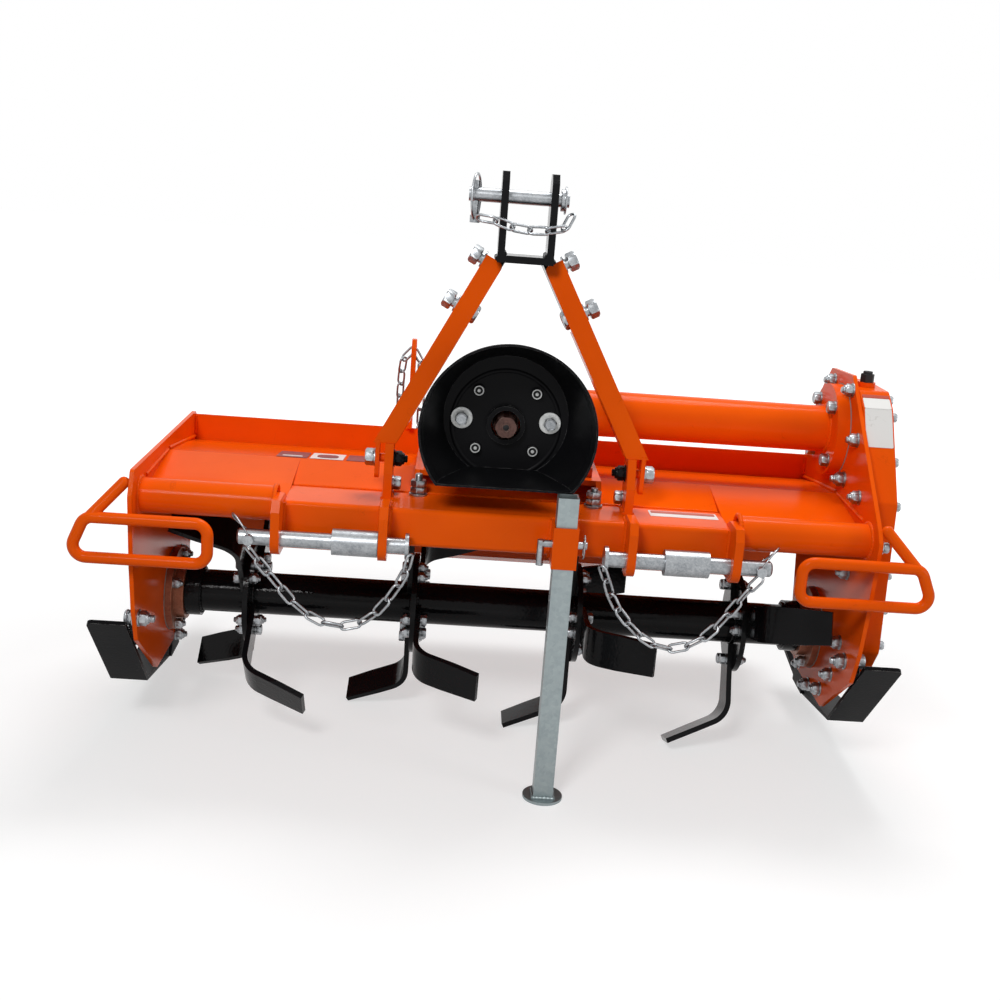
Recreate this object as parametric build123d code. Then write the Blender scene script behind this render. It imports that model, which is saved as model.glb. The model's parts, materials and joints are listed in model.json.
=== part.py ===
from build123d import *
import os
from math import atan2, cos, degrees, hypot, radians, sin

# Tractor-mounted rotary tiller, one metre wide, on its parking stand.
# Millimetres. +X runs to the gear-case side, +Y to the rear, +Z up.
# The origin is on the ground, below the middle of the lower hitch pins.

# ---- driving dimensions ---------------------------------------------------
WORK_WIDTH = 1010.0        # clear width between the side plates
PLATE = 6.0                # side plate thickness
SHEET = 4.0                # deck and rear plate thickness
PIN_HEIGHT = 358.0         # lower hitch pin axis above the ground
ROTOR_Y = 238.0            # rotor axis behind the lower pin axis
DRIVE_Y = 245.0            # drive tube axis, above the rotor

HITCH_PIN_R = 11.0         # lower hitch pins, 22 mm
TOP_PIN_R = 9.5            # top link pin, 19 mm
EAR = 12.0                 # hitch ear thickness
EAR_SPAN_OUT = 320.5       # outer face of each outer ear from the middle
EAR_SPAN_IN = 163.5        # inner face of each inner ear from the middle
PIN_LENGTH = 233.0         # lower pin from its head to its tip
PIN_CLEAR = 0.1            # radial clearance of the pins in their holes
LINCH_R = 4.5              # linch pins
LINCH_KNOB_R = 7.0
LINCH_KNOB = 9.0
LINCH_REACH = 19.0         # from the hitch pin's axis to the linch pin's end
SLEEVE_R = 18.2            # spacer sleeve on a lower pin
SLEEVE_LENGTH = 62.0
SLEEVE_RIGHT_X = 217.0     # the right sleeve has slid to the middle of its pin

BEAM_DEPTH = 95.0         # front beam, a folded box between the outer ears
BEAM_TALL = 54.0
BEAM_WALL = 5.0
BEAM_FRONT_Y = 20.0
BEAM_TOP = PIN_HEIGHT + 47.0

FRONT_TUBE_R = 24.0
FRONT_TUBE_Y = 30.0
FRONT_TUBE_Z = PIN_HEIGHT + 41.0
FRONT_TUBE_WALL = 4.0

SHAFT_Z = PIN_HEIGHT + 156.0   # gearbox, drive tube and input shaft height
DRIVE_TUBE_R = 35.0
DRIVE_TUBE_WALL = 4.0
DRIVE_FLANGE_R = 70.0
DRIVE_FLANGE = 20.0
DRIVE_COLLAR = 10.0

GEARBOX_X = -10.0          # input shaft from the middle
GEARBOX_HALF = 78.0
GEARBOX_FRONT_Y = 140.0
GEARBOX_REAR_Y = 318.0
GEARBOX_TALL = 132.0
GEARBOX_BOSS_R = 42.0      # side boss that carries the drive tube
GEARBOX_BOSS = 8.0
MOUNT_TOP = PIN_HEIGHT + 80.0
MOUNT_HALF = 135.0
MOUNT_PLATE = 8.0
MOUNT_SET_BACK = 24.0      # its top plate starts behind the cheeks' front corners
GEARBOX_CORNER = 26.0
GEARBOX_BEVEL = 14.0
REAR_CAP_R = 48.0
REAR_CAP = 14.0
TOP_CAP_R = 26.0
TOP_CAP = 6.0
GEARBOX_FOOT = 14.0        # feet that stand on the mount
GEARBOX_FOOT_HALF = 16.0
GEARBOX_FOOT_INSET = 12.0

SPLINE_R = 17.45           # 1 3/8 inch input shaft
SPLINES = 6
SPLINE_ROOT_R = 14.5
SPLINE_CHAMFER = 2.5
GROOVE_HALF = 4.2
SEAT_R = 19.95             # plain seat of the input shaft in the gearbox
SHAFT_HOLE_R = 23.0        # open hole round the splines
SHAFT_TIP_Y = 88.0
SEAT_FRONT_Y = 150.0
SHAFT_ROOT_Y = 200.0
SHAFT_CLEAR = 0.05         # radial running clearance of a shaft in its seat

SHIELD_R = 121.0
SHIELD_DEPTH = 118.0
SHIELD_BACK_R = 78.0
SHIELD_WALL = 3.0
SHIELD_FRONT_Y = 0.0
SHIELD_HOLE_R = 21.0
SHIELD_CHORD = 77.0        # flat underside below the shield's middle
SHIELD_RIM = 26.0          # straight rim before the cone starts
SHIELD_RIM_TAPER = 3.0
SHIELD_STEP = 14.0         # back disc wider than the gearbox seat behind it
SHIELD_BOSS_R = 27.5
SHIELD_BOSS = 14.0

CASE_DEPTH = 44.0          # gear case outside the side plate
CASE_WALL = 4.0
VENT_NECK_R = 13.0
VENT_NECK = (227.0, 236.0)     # heights above the lower pins
VENT_HEXAGON_R = 10.5
VENT_HEXAGON = 12.0
VENT_CAP_R = 7.0
VENT_CAP_TOP = 252.0

ROTOR_TUBE_R = 32.5
ROTOR_TUBE_WALL = 6.0
ROTOR_TUBE_HALF = 457.0
STUB_R = 20.0
FLANGE_PITCH = 254.0
FLANGE_R = 78.0
FLANGE = 8.0
TINE_THICK = 8.0
TINE_WIDTH = 54.0
TINE_REACH = 194.0         # blade's outer face from the rotor axis
TINE_SIDE = 100.0          # blade's tip from its flange
TINE_TIP = 48.0            # blade's width at its tip
TINE_BEND = 42.0           # outer bend radius
TINE_FOLD = 65.0           # degrees that a blade turns away from its shank
TINE_FIRST = -38.0         # first flange's inward tine, from straight down
TINE_STEP = 19.0           # turn from one flange to the next
TINE_ROOT = 34.0           # inner end of a tine's shank from the rotor axis
TINE_NARROW = 44.0         # shank's width inside the flange
TINE_WIDEN = (14.0, 22.0)  # the shank widens from past the flange to before the bend
TINE_NARROWS = 24.0        # a blade tapers over its last length

BEARING_R = 46.0
BEARING = 25.0
BEARING_FLANGE_R = 64.0
BEARING_FLANGE = 11.0
HUB_R = 40.0

STAND_X = 77.0
STAND_TUBE = 28.0
STAND_WALL = 2.5
STAND_SOCKET_WALL = 3.0
STAND_GAP = 0.3
STAND_TOP = PIN_HEIGHT + 88.0
FOOT_R = 28.5
FOOT = 4.0

GUARD_ROD_R = 8.0
GUARD_Y = -30.0
GUARD_INNER = WORK_WIDTH / 2 - 103.0
GUARD_OUTER = WORK_WIDTH / 2 + 84.0
GUARD_LEAN = 24.0          # the outer side leans in towards the top
GUARD_BEND = 17.0
GUARD_LOW = PIN_HEIGHT - 34.0
GUARD_HIGH = PIN_HEIGHT + 22.0
GUARD_ROOT = (-6.0, PIN_HEIGHT + 66.0)

SKID_WIDTH = 55.0
SKID = 6.0
SKID_CORNER = 9.0

BOARD = 3.0                # tailboard sheet
BOARD_LENGTH = 255.0
BOARD_RAISED = 55.0        # degrees below level, held up on its chain
HINGE_Y = 409.0
HINGE_Z = PIN_HEIGHT + 30.0
HINGE_PIN_R = 4.0
HINGE_KNUCKLE_R = 7.5
BOARD_LIP = 34.0           # bent lower edge
BOARD_LIP_TURN = 28.0
HOOK_X = 160.0             # hooks behind the board for its chain
HOOK = 8.0
HOOK_REACH = 26.0
HOOK_TALL = 32.0
SIDE_GAP = 6.0             # running gap beside moving pieces

# ---- sizes that follow ----------------------------------------------------
INNER = WORK_WIDTH / 2
OUTER = INNER + PLATE
HALF_BLADE = degrees(atan2(TINE_TIP / 2, TINE_REACH))
CORNER_REACH = hypot(TINE_REACH, TINE_TIP / 2)
FLANGE_XS = [FLANGE_PITCH * (i - 1.5) for i in range(4)]
IN_TURNS = [TINE_FIRST + TINE_STEP * i for i in range(4)]
CORNER_TURNS = [turn + side for turn in IN_TURNS for side in (-HALF_BLADE, HALF_BLADE)]
# The lowest blade corner stands on the ground.
ROTOR_Z = CORNER_REACH * max(cos(radians(turn)) for turn in CORNER_TURNS)
BEAM_REAR_Y = BEAM_FRONT_Y + BEAM_DEPTH
BEAM_HALF = EAR_SPAN_OUT - EAR
FAR = 900.0                # size of a cutting block that reaches past the part


# ---- helpers --------------------------------------------------------------
def block(x0, x1, y0, y1, z0, z1):
    size = Box(abs(x1 - x0), abs(y1 - y0), abs(z1 - z0))
    return Pos((x0 + x1) / 2, (y0 + y1) / 2, (z0 + z1) / 2) * size


def rod_x(x0, x1, y, z, radius):
    return Pos((x0 + x1) / 2, y, z) * Rot(0, 90, 0) * Cylinder(radius, abs(x1 - x0))


def rod_y(x, y0, y1, z, radius):
    return Pos(x, (y0 + y1) / 2, z) * Rot(90, 0, 0) * Cylinder(radius, abs(y1 - y0))


def rod_z(x, y, z0, z1, radius):
    return Pos(x, y, (z0 + z1) / 2) * Cylinder(radius, abs(z1 - z0))


def pipe_x(x0, x1, y, z, radius, bore):
    return rod_x(x0, x1, y, z, radius) - rod_x(x0 - 1, x1 + 1, y, z, bore)


def side_sheet(points, x0, x1, corner=0.0):
    """A plate square to X from its (y, z) outline, with rounded corners."""
    face = Plane.YZ.offset(x0) * Polygon(*points, align=None)
    if corner:
        face = fillet(face.vertices(), corner)
    return extrude(face, amount=x1 - x0, dir=(1, 0, 0))


def mirror_x(solid):
    return mirror(solid, about=Plane.YZ)


def save(name, solids):
    """Write one node; its like pieces are separate solids that do not touch."""
    pieces = [solid for item in solids for solid in item.solids()]
    shape = pieces[0] if len(pieces) == 1 else Compound(children=pieces)
    shape.label = name
    export_step(shape, f"parts/{name}.step")


def above_pins(points):
    """Outlines below give heights from the lower pin axis."""
    return [(y, PIN_HEIGHT + z) for y, z in points]


def strip(points, thick):
    """Outline of a folded sheet that follows (y, z) points, thickness below."""
    lower = []
    for i, (y, z) in enumerate(points):
        before = points[max(i - 1, 0)]
        after = points[min(i + 1, len(points) - 1)]
        a = atan2(z - before[1], y - before[0]) if i else None
        b = atan2(after[1] - z, after[0] - y) if i < len(points) - 1 else None
        first = a if a is not None else b
        last = b if b is not None else a
        turn = (first + last) / 2
        reach = thick / cos((last - first) / 2)
        lower.append((y + reach * sin(turn), z - reach * cos(turn)))
    return points + lower[::-1]


# ---- side plates ----------------------------------------------------------
LOWER_EDGE = [
    (405, 40), (345, -228), (290, -252), (135, -256), (18, -168), (0, -120), (-12, -50), (-20, 50),
]
LEFT_OUTLINE = above_pins([(-5, 84), (405, 86)] + LOWER_EDGE)
RIGHT_OUTLINE = above_pins([(-8, 66), (205, 247), (315, 241), (352, 206), (405, 120)] + LOWER_EDGE)
PLATE_CORNER = 7.0


def side_plate(outline, side):
    x0, x1 = sorted((side * INNER, side * OUTER))
    return side_sheet(outline, x0, x1, PLATE_CORNER)


# ---- front beam, deck and rear plate --------------------------------------
DECK_FOLD = (200, 66)
DECK_REAR = [(322, 53), (395, 40)]
DECK_LINE = above_pins([(FRONT_TUBE_Y + FRONT_TUBE_R, 41), (104, 51), DECK_FOLD] + DECK_REAR)
# Behind the beam the deck starts at the beam's top edge.
DECK_MIDDLE = above_pins([(BEAM_REAR_Y, BEAM_TOP - PIN_HEIGHT), DECK_FOLD] + DECK_REAR)


def deck_height(y):
    """Top face of the deck at y, behind the beam."""
    for (y0, z0), (y1, z1) in zip(DECK_MIDDLE, DECK_MIDDLE[1:]):
        if y0 <= y <= y1:
            return z0 + (z1 - z0) * (y - y0) / (y1 - y0)
    return DECK_MIDDLE[-1][1]


def front_beam():
    z0 = BEAM_TOP - BEAM_TALL
    beam = block(-BEAM_HALF, BEAM_HALF, BEAM_FRONT_Y, BEAM_REAR_Y, z0, BEAM_TOP)
    beam = fillet(beam.edges().filter_by(Axis.X), 7.0)
    hollow = block(
        -BEAM_HALF - 1, BEAM_HALF + 1, BEAM_FRONT_Y + BEAM_WALL, BEAM_REAR_Y - BEAM_WALL,
        z0 + BEAM_WALL, BEAM_TOP - BEAM_WALL,
    )
    return beam - hollow


def front_tube(side):
    x0, x1 = sorted((side * EAR_SPAN_OUT, side * INNER))
    bore = FRONT_TUBE_R - FRONT_TUBE_WALL
    return pipe_x(x0, x1, FRONT_TUBE_Y, FRONT_TUBE_Z, FRONT_TUBE_R, bore)


def deck():
    """One sheet: its middle starts on the beam, its ends on the front tubes."""
    sheet = side_sheet(strip(DECK_LINE, SHEET), -INNER, INNER)
    sheet -= block(-BEAM_HALF, BEAM_HALF, 0, DECK_FOLD[0], BEAM_TOP - BEAM_TALL, BEAM_TOP + 60)
    middle = side_sheet(strip(DECK_MIDDLE, SHEET), -BEAM_HALF, BEAM_HALF)
    return sheet + middle


REAR_PLATE_Y = DECK_LINE[-1][0]
REAR_PLATE_TOP = PIN_HEIGHT + 82.0
REAR_PLATE_LOW = HINGE_Z - 22.0


def rear_plate():
    return block(-INNER, INNER, REAR_PLATE_Y, REAR_PLATE_Y + SHEET, REAR_PLATE_LOW, REAR_PLATE_TOP)


# ---- gearbox, its mount and the drive to the gear case --------------------
MOUNT_FRONT_Y = 96.0
MOUNT_REAR_Y = 330.0


def gearbox_mount():
    top = block(
        -MOUNT_HALF, MOUNT_HALF, MOUNT_FRONT_Y + MOUNT_SET_BACK, MOUNT_REAR_Y, MOUNT_TOP - MOUNT_PLATE,
        MOUNT_TOP,
    )
    folds = [y for y, z in DECK_LINE if BEAM_REAR_Y < y < MOUNT_REAR_Y]
    under = [(y, deck_height(y)) for y in [BEAM_REAR_Y] + folds + [MOUNT_REAR_Y]]
    outline = [(MOUNT_FRONT_Y, BEAM_TOP), (BEAM_REAR_Y, BEAM_TOP)] + under
    outline += [(MOUNT_REAR_Y, MOUNT_TOP), (MOUNT_FRONT_Y + MOUNT_SET_BACK, MOUNT_TOP)]
    cheek = side_sheet(outline, MOUNT_HALF - MOUNT_PLATE, MOUNT_HALF)
    return top + cheek + mirror_x(cheek)


def gearbox():
    z0 = MOUNT_TOP
    z1 = z0 + GEARBOX_TALL
    x0 = GEARBOX_X - GEARBOX_HALF
    x1 = GEARBOX_X + GEARBOX_HALF
    body = block(x0, x1, GEARBOX_FRONT_Y, GEARBOX_REAR_Y, z0, z1)
    body = fillet(body.edges().filter_by(Axis.Z), GEARBOX_CORNER)
    body = chamfer(body.faces().sort_by(Axis.Z)[-1].edges(), GEARBOX_BEVEL)
    shield_back = SHIELD_FRONT_Y + SHIELD_DEPTH
    body += rod_y(GEARBOX_X, shield_back, GEARBOX_FRONT_Y + 5, SHAFT_Z, SHIELD_BACK_R - 8)
    body += rod_y(GEARBOX_X, GEARBOX_REAR_Y - 5, GEARBOX_REAR_Y + REAR_CAP, SHAFT_Z, REAR_CAP_R)
    body += rod_x(x1 - 5, x1 + GEARBOX_BOSS, DRIVE_Y, SHAFT_Z, GEARBOX_BOSS_R)
    body += rod_x(x0 - GEARBOX_BOSS, x0 + 5, DRIVE_Y, SHAFT_Z, GEARBOX_BOSS_R)
    body += rod_z(GEARBOX_X, DRIVE_Y, z1 - 2, z1 + TOP_CAP, TOP_CAP_R)
    half = GEARBOX_FOOT_HALF
    reach = MOUNT_HALF - GEARBOX_FOOT_INSET
    for y in (GEARBOX_FRONT_Y + half, GEARBOX_REAR_Y - half):
        body += block(-reach, reach, y - half, y + half, z0, z0 + GEARBOX_FOOT)
    body -= rod_y(GEARBOX_X, shield_back - 1, SEAT_FRONT_Y, SHAFT_Z, SHAFT_HOLE_R)
    body -= rod_y(GEARBOX_X, SEAT_FRONT_Y - 1, SHAFT_ROOT_Y, SHAFT_Z, SEAT_R + SHAFT_CLEAR)
    return body


def input_shaft():
    """Six-spline input shaft; its plain seat runs in the gearbox."""
    shaft = rod_y(GEARBOX_X, SHAFT_TIP_Y, SEAT_FRONT_Y + 1, SHAFT_Z, SPLINE_R)
    shaft = chamfer(shaft.faces().sort_by(Axis.Y)[0].edges(), SPLINE_CHAMFER)
    for i in range(SPLINES):
        shaft -= Pos(GEARBOX_X, 0, SHAFT_Z) * Rot(0, 360 / SPLINES * i, 0) * block(
            -GROOVE_HALF, GROOVE_HALF, SHAFT_TIP_Y - 1, SEAT_FRONT_Y - 8, SPLINE_ROOT_R, SPLINE_R + 2,
        )
    return shaft + rod_y(GEARBOX_X, SEAT_FRONT_Y, SHAFT_ROOT_Y - SHAFT_CLEAR, SHAFT_Z, SEAT_R)


def drive_tube():
    x0 = GEARBOX_X + GEARBOX_HALF + GEARBOX_BOSS
    bore = DRIVE_TUBE_R - DRIVE_TUBE_WALL
    tube = pipe_x(x0, INNER, DRIVE_Y, SHAFT_Z, DRIVE_TUBE_R, bore)
    flange = pipe_x(INNER - DRIVE_FLANGE, INNER, DRIVE_Y, SHAFT_Z, DRIVE_FLANGE_R, bore)
    collar = pipe_x(x0, x0 + DRIVE_COLLAR, DRIVE_Y, SHAFT_Z, GEARBOX_BOSS_R, bore)
    return tube + flange + collar


SHIELD_Z = PIN_HEIGHT + 165.0


def shield_body(radius, back_radius, y0, y1, low):
    """The bell shape: a short straight rim, then a cone to the back disc."""
    rim = (radius - SHIELD_RIM_TAPER, y0 + SHIELD_RIM)
    profile = Plane.XY * Polygon((0, y0), (radius, y0), rim, (back_radius, y1), (0, y1), align=None)
    bell = revolve(profile, Axis.Y, 360)
    bell = Pos(GEARBOX_X, 0, SHIELD_Z) * bell
    return bell - block(GEARBOX_X - 200, GEARBOX_X + 200, y0 - 1, y1 + 1, low - 200, low)


def pto_shield():
    low = SHIELD_Z - SHIELD_CHORD
    back = SHIELD_FRONT_Y + SHIELD_DEPTH
    disc_r = SHIELD_BACK_R + SHIELD_STEP
    shell = shield_body(SHIELD_R, disc_r, SHIELD_FRONT_Y, back, low)
    shell -= shield_body(
        SHIELD_R - SHIELD_WALL, disc_r - SHIELD_WALL, SHIELD_FRONT_Y - 0.01, back - SHIELD_WALL,
        low + SHIELD_WALL,
    )
    boss = rod_y(GEARBOX_X, back - SHIELD_BOSS, back - 1, SHAFT_Z, SHIELD_BOSS_R)
    return shell + boss - rod_y(GEARBOX_X, back - 20, back + 2, SHAFT_Z, SHIELD_HOLE_R)


# ---- gear case ------------------------------------------------------------
CASE_OUTLINE = above_pins([
    (152, 208), (182, 229), (300, 229), (352, 190), (366, 80), (352, -150), (300, -222),
    (180, -232), (92, -186), (56, -134), (74, 85),
])
CASE_CORNER = 12.0
CASE_MIDDLE_X = OUTER + CASE_DEPTH / 2
VENT_Y = 223.0


def gear_case():
    x0 = OUTER
    x1 = OUTER + CASE_DEPTH
    case = side_sheet(CASE_OUTLINE, x0, x1, CASE_CORNER)
    inner = Plane.YZ.offset(x0 - 1) * Polygon(*CASE_OUTLINE, align=None)
    inner = offset(inner, -CASE_WALL)
    case -= extrude(inner, amount=CASE_DEPTH + 1 - CASE_WALL, dir=(1, 0, 0))
    low, high = (PIN_HEIGHT + height for height in VENT_NECK)
    neck = rod_z(CASE_MIDDLE_X, VENT_Y, low, high, VENT_NECK_R)
    return case + neck


def vent_plug():
    seat = PIN_HEIGHT + VENT_NECK[1]
    hexagon = extrude(RegularPolygon(VENT_HEXAGON_R, 6), VENT_HEXAGON)
    plug = Pos(CASE_MIDDLE_X, VENT_Y, seat) * hexagon
    low = seat + VENT_HEXAGON - 1
    return plug + rod_z(CASE_MIDDLE_X, VENT_Y, low, PIN_HEIGHT + VENT_CAP_TOP, VENT_CAP_R)


# ---- mast -----------------------------------------------------------------
ARM_TOP = PIN_HEIGHT + 376.0
ARM_LOW = PIN_HEIGHT + 124.0
ARM_WIDE = 28.0
ARM_LEG = 26.0
ARM_SHEET = 6.0
ARM_LIP = 4.0              # inner flange of an arm below the clevis leg
ARM_OVER = 2.0             # arm's square end beyond its top point
ARM_RUN_OUT = 40.0         # drawn past the foot, then cut level
ARM_CORNER = 8.0
CHEEK_TALL = 52.0
# Arm ends: distance of the inner edge from the middle, and the front face's y.
ARM_AT_TOP = (29.0, 130.0)
ARM_AT_LOW = (163.0, 82.0)
LUG_INNER = 165.0
LUG = 12.0
CHEEK_X = ARM_AT_LOW[0] + ARM_WIDE - ARM_SHEET   # outer side of an arm's foot
ARM_BOLT = (ARM_AT_LOW[1] + 13.0, PIN_HEIGHT + 100.0)
ARM_BOLT_R = 6.0
ARM_BOLT_HEAD_R = 10.5
ARM_BOLT_HEAD = 8.0
ARM_BOLT_INSIDE = 12.0     # bolt's end inside the lug
# Lug outline, from the arm's front face and from the beam's top or the arm's foot.
LUG_FRONT = -16.0
LUG_REAR = 34.0
LUG_HEAD = (-4.0, 24.0)

CLEVIS_Y = 126.0
CLEVIS_LOW = ARM_TOP + 7.0
CLEVIS_GAP = 58.0
CLEVIS_EAR = 10.0
CLEVIS_HALF_DEPTH = 24.0
TOP_PIN_Z = PIN_HEIGHT + 471.0
CLEVIS_TOP = PIN_HEIGHT + 505.0
CLEVIS_BRIDGE = 10.0
CLEVIS_CORNER = 12.0
LEG = 6.0
LEG_LENGTH = 90.0


def arm_frame():
    """Plane at an arm's foot, square to the arm, and the arm's length."""
    (x1, y1), (x0, y0) = ARM_AT_TOP, ARM_AT_LOW
    foot = Vector(x0, y0, ARM_LOW)
    head = Vector(x1, y1, ARM_TOP)
    plane = Plane(origin=foot, x_dir=Vector(1, 0, 0), z_dir=head - foot)
    return plane, (head - foot).length


ARM_LENGTH = arm_frame()[1]


def arm_section(x0, x1, y0, y1, start, end):
    """Bar along an arm: local x across from its inner edge, local y to the rear."""
    plane, length = arm_frame()
    back = -1 if plane.y_dir.Y < 0 else 1
    face = plane.offset(start) * Pos((x0 + x1) / 2, back * (y0 + y1) / 2) * Rectangle(x1 - x0, y1 - y0)
    return extrude(face, amount=length + end - start, dir=plane.z_dir)


def arm_front():
    """Front flange of an arm: square end, its inner top corner rounded."""
    plane, length = arm_frame()
    back = -1 if plane.y_dir.Y < 0 else 1
    flat = Plane(origin=plane.origin, x_dir=plane.x_dir, z_dir=plane.y_dir * back)
    along = -1 if flat.y_dir.dot(plane.z_dir) < 0 else 1
    ends = (-ARM_RUN_OUT * along, (length + ARM_OVER) * along)
    corners = [(0, ends[0]), (ARM_WIDE, ends[0]), (ARM_WIDE, ends[1]), (0, ends[1])]
    face = Polygon(*corners, align=None)
    top_inner = face.vertices().sort_by(lambda v: (v.Y * along) - v.X)[-1]
    face = fillet(top_inner, ARM_CORNER)
    return extrude(flat * face, amount=ARM_SHEET, dir=flat.z_dir)


def mast_arm():
    """Folded channel, open at the top behind, leaning back over the beam."""
    arm = arm_front()
    arm += arm_section(ARM_WIDE - ARM_SHEET, ARM_WIDE, 0, ARM_LEG, -ARM_RUN_OUT, ARM_OVER)
    arm += arm_section(0, ARM_LIP, 0, ARM_LEG, -ARM_RUN_OUT, -LEG_LENGTH - ARM_LIP)
    arm &= block(0, 300, 0, 300, ARM_LOW, ARM_TOP + 60)
    clevis_outer = CLEVIS_GAP / 2 + CLEVIS_EAR
    arm -= block(0, clevis_outer, 0, 300, CLEVIS_LOW, ARM_TOP + 60)
    y0 = ARM_AT_LOW[1]
    foot = block(CHEEK_X, CHEEK_X + ARM_SHEET, y0, y0 + ARM_LEG, ARM_LOW - CHEEK_TALL, ARM_LOW + 4)
    foot = fillet(foot.edges().filter_by(Axis.X).sort_by(Axis.Z)[:2], ARM_CORNER)
    bolt_y, bolt_z = ARM_BOLT
    return arm + foot - rod_x(CHEEK_X - 1, CHEEK_X + ARM_SHEET + 1, bolt_y, bolt_z, ARM_BOLT_R + PIN_CLEAR)


def mast_lug():
    """Upright plate on the beam that the arm's foot is welded to."""
    x0 = LUG_INNER
    y0 = ARM_AT_LOW[1]
    outline = [
        (y0 + LUG_FRONT, BEAM_TOP), (BEAM_REAR_Y - 4, BEAM_TOP), (y0 + LUG_REAR, ARM_LOW - 10),
        (y0 + LUG_HEAD[1], ARM_LOW), (y0 + LUG_HEAD[0], ARM_LOW), (y0 + LUG_FRONT, ARM_LOW - 40),
    ]
    lug = side_sheet(outline, x0, x0 + LUG)
    face = CHEEK_X + ARM_SHEET
    bolt = rod_x(x0 - ARM_BOLT_INSIDE, face + ARM_BOLT_HEAD, *ARM_BOLT, ARM_BOLT_R)
    return lug + bolt + rod_x(face, face + ARM_BOLT_HEAD, *ARM_BOLT, ARM_BOLT_HEAD_R)


def mast_clevis():
    """Two ears on a cross plate, with splayed legs bolted inside the arms."""
    z0 = CLEVIS_LOW
    inner = CLEVIS_GAP / 2
    y0 = CLEVIS_Y - CLEVIS_HALF_DEPTH
    y1 = CLEVIS_Y + CLEVIS_HALF_DEPTH
    ear = block(inner, inner + CLEVIS_EAR, y0, y1, z0, CLEVIS_TOP)
    ear = chamfer(ear.edges().filter_by(Axis.X).sort_by(Axis.Z)[-2:], CLEVIS_CORNER)
    ear -= rod_x(inner - 1, inner + CLEVIS_EAR + 1, CLEVIS_Y, TOP_PIN_Z, TOP_PIN_R + PIN_CLEAR)
    bridge = block(-inner, inner, y0, y1, z0, z0 + CLEVIS_BRIDGE)
    return ear + mirror_x(ear) + bridge


def clevis_leg():
    """Black strip bolted inside the inner flange of an arm, under the clevis."""
    leg = arm_section(1, 1 + LEG, ARM_SHEET, ARM_LEG + 8, ARM_LENGTH - LEG_LENGTH, ARM_RUN_OUT)
    return leg & block(CLEVIS_GAP / 2 - CLEVIS_EAR, 300, 0, 300, 0, CLEVIS_LOW)


TOP_PIN_LEFT = -83.0
TOP_PIN_RIGHT = 55.0
TOP_COLLAR_X = 44.0
TOP_COLLAR = 5.0
TOP_COLLAR_R = 15.0
TOP_LINCH_X = -73.0
TOP_LINCH_DROP = 29.0      # from the top pin's axis down to the knob


def top_pin():
    pin = rod_x(TOP_PIN_LEFT, TOP_PIN_RIGHT, CLEVIS_Y, TOP_PIN_Z, TOP_PIN_R)
    pin -= rod_z(TOP_LINCH_X, CLEVIS_Y, TOP_PIN_Z - 20, TOP_PIN_Z + 20, LINCH_R + PIN_CLEAR)
    return pin + rod_x(TOP_COLLAR_X, TOP_COLLAR_X + TOP_COLLAR, CLEVIS_Y, TOP_PIN_Z, TOP_COLLAR_R)


def top_linch():
    """Upright pin in the top pin's left end, its knob below."""
    low = TOP_PIN_Z - TOP_LINCH_DROP
    pin = rod_z(TOP_LINCH_X, CLEVIS_Y, low, TOP_PIN_Z + LINCH_REACH, LINCH_R)
    return pin + rod_z(TOP_LINCH_X, CLEVIS_Y, low - LINCH_KNOB, low + 1, LINCH_KNOB_R)


# ---- lower hitch ----------------------------------------------------------
EAR_NOSE_Y = -22.0
EAR_NOSE_R = 22.0
EAR_WELD_Y = BEAM_FRONT_Y + 30.0   # outer ears lie along the beam's ends up to here


def hitch_ear(x0):
    """Ear with a rounded nose round the pin, its back welded to the beam."""
    x1 = x0 + EAR
    outline = [
        (0, PIN_HEIGHT - EAR_NOSE_R), (BEAM_FRONT_Y, PIN_HEIGHT - EAR_NOSE_R),
        (BEAM_FRONT_Y, BEAM_TOP), (BEAM_FRONT_Y + 30, BEAM_TOP),
        (BEAM_FRONT_Y + 10, BEAM_TOP + 10), (EAR_NOSE_Y + 8, BEAM_TOP + 10), (EAR_NOSE_Y, BEAM_TOP - 6),
        (EAR_NOSE_Y, PIN_HEIGHT),
    ]
    if abs(x0 + EAR / 2) > BEAM_HALF:
        outline[1:3] = [(EAR_WELD_Y, PIN_HEIGHT - EAR_NOSE_R), (EAR_WELD_Y, BEAM_TOP)]
    ear = side_sheet(outline, x0, x1)
    ear += rod_x(x0, x1, 0, PIN_HEIGHT, EAR_NOSE_R) & block(x0, x1, -60, BEAM_FRONT_Y, 0, FAR)
    return ear - rod_x(x0 - 1, x1 + 1, 0, PIN_HEIGHT, HITCH_PIN_R + PIN_CLEAR)


PIN_HEAD_X = EAR_SPAN_IN - 29.5
PIN_HEAD_R = 18.0
PIN_HEAD = 5.0
PIN_TIP_X = PIN_HEAD_X + PIN_LENGTH
LINCH_X = PIN_TIP_X - 17.0


def lower_pin(side):
    pin = rod_x(PIN_HEAD_X + PIN_HEAD - 1, PIN_TIP_X, 0, PIN_HEIGHT, HITCH_PIN_R)
    pin = chamfer(pin.faces().sort_by(Axis.X)[-1].edges(), 2.5)
    pin += rod_x(PIN_HEAD_X, PIN_HEAD_X + PIN_HEAD, 0, PIN_HEIGHT, PIN_HEAD_R)
    pin -= rod_y(LINCH_X, -20, 20, PIN_HEIGHT, LINCH_R + PIN_CLEAR)
    return pin if side > 0 else mirror_x(pin)


def sleeve(x0):
    return pipe_x(x0, x0 + SLEEVE_LENGTH, 0, PIN_HEIGHT, SLEEVE_R, HITCH_PIN_R + PIN_CLEAR)


def lower_linch(x):
    """Pin through a lower hitch pin from the front, its knob close to the hitch pin."""
    front = -HITCH_PIN_R - 1
    pin = rod_y(x, front, LINCH_REACH, PIN_HEIGHT, LINCH_R)
    return pin + rod_y(x, front - LINCH_KNOB, front + 1, PIN_HEIGHT, LINCH_KNOB_R)


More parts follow.
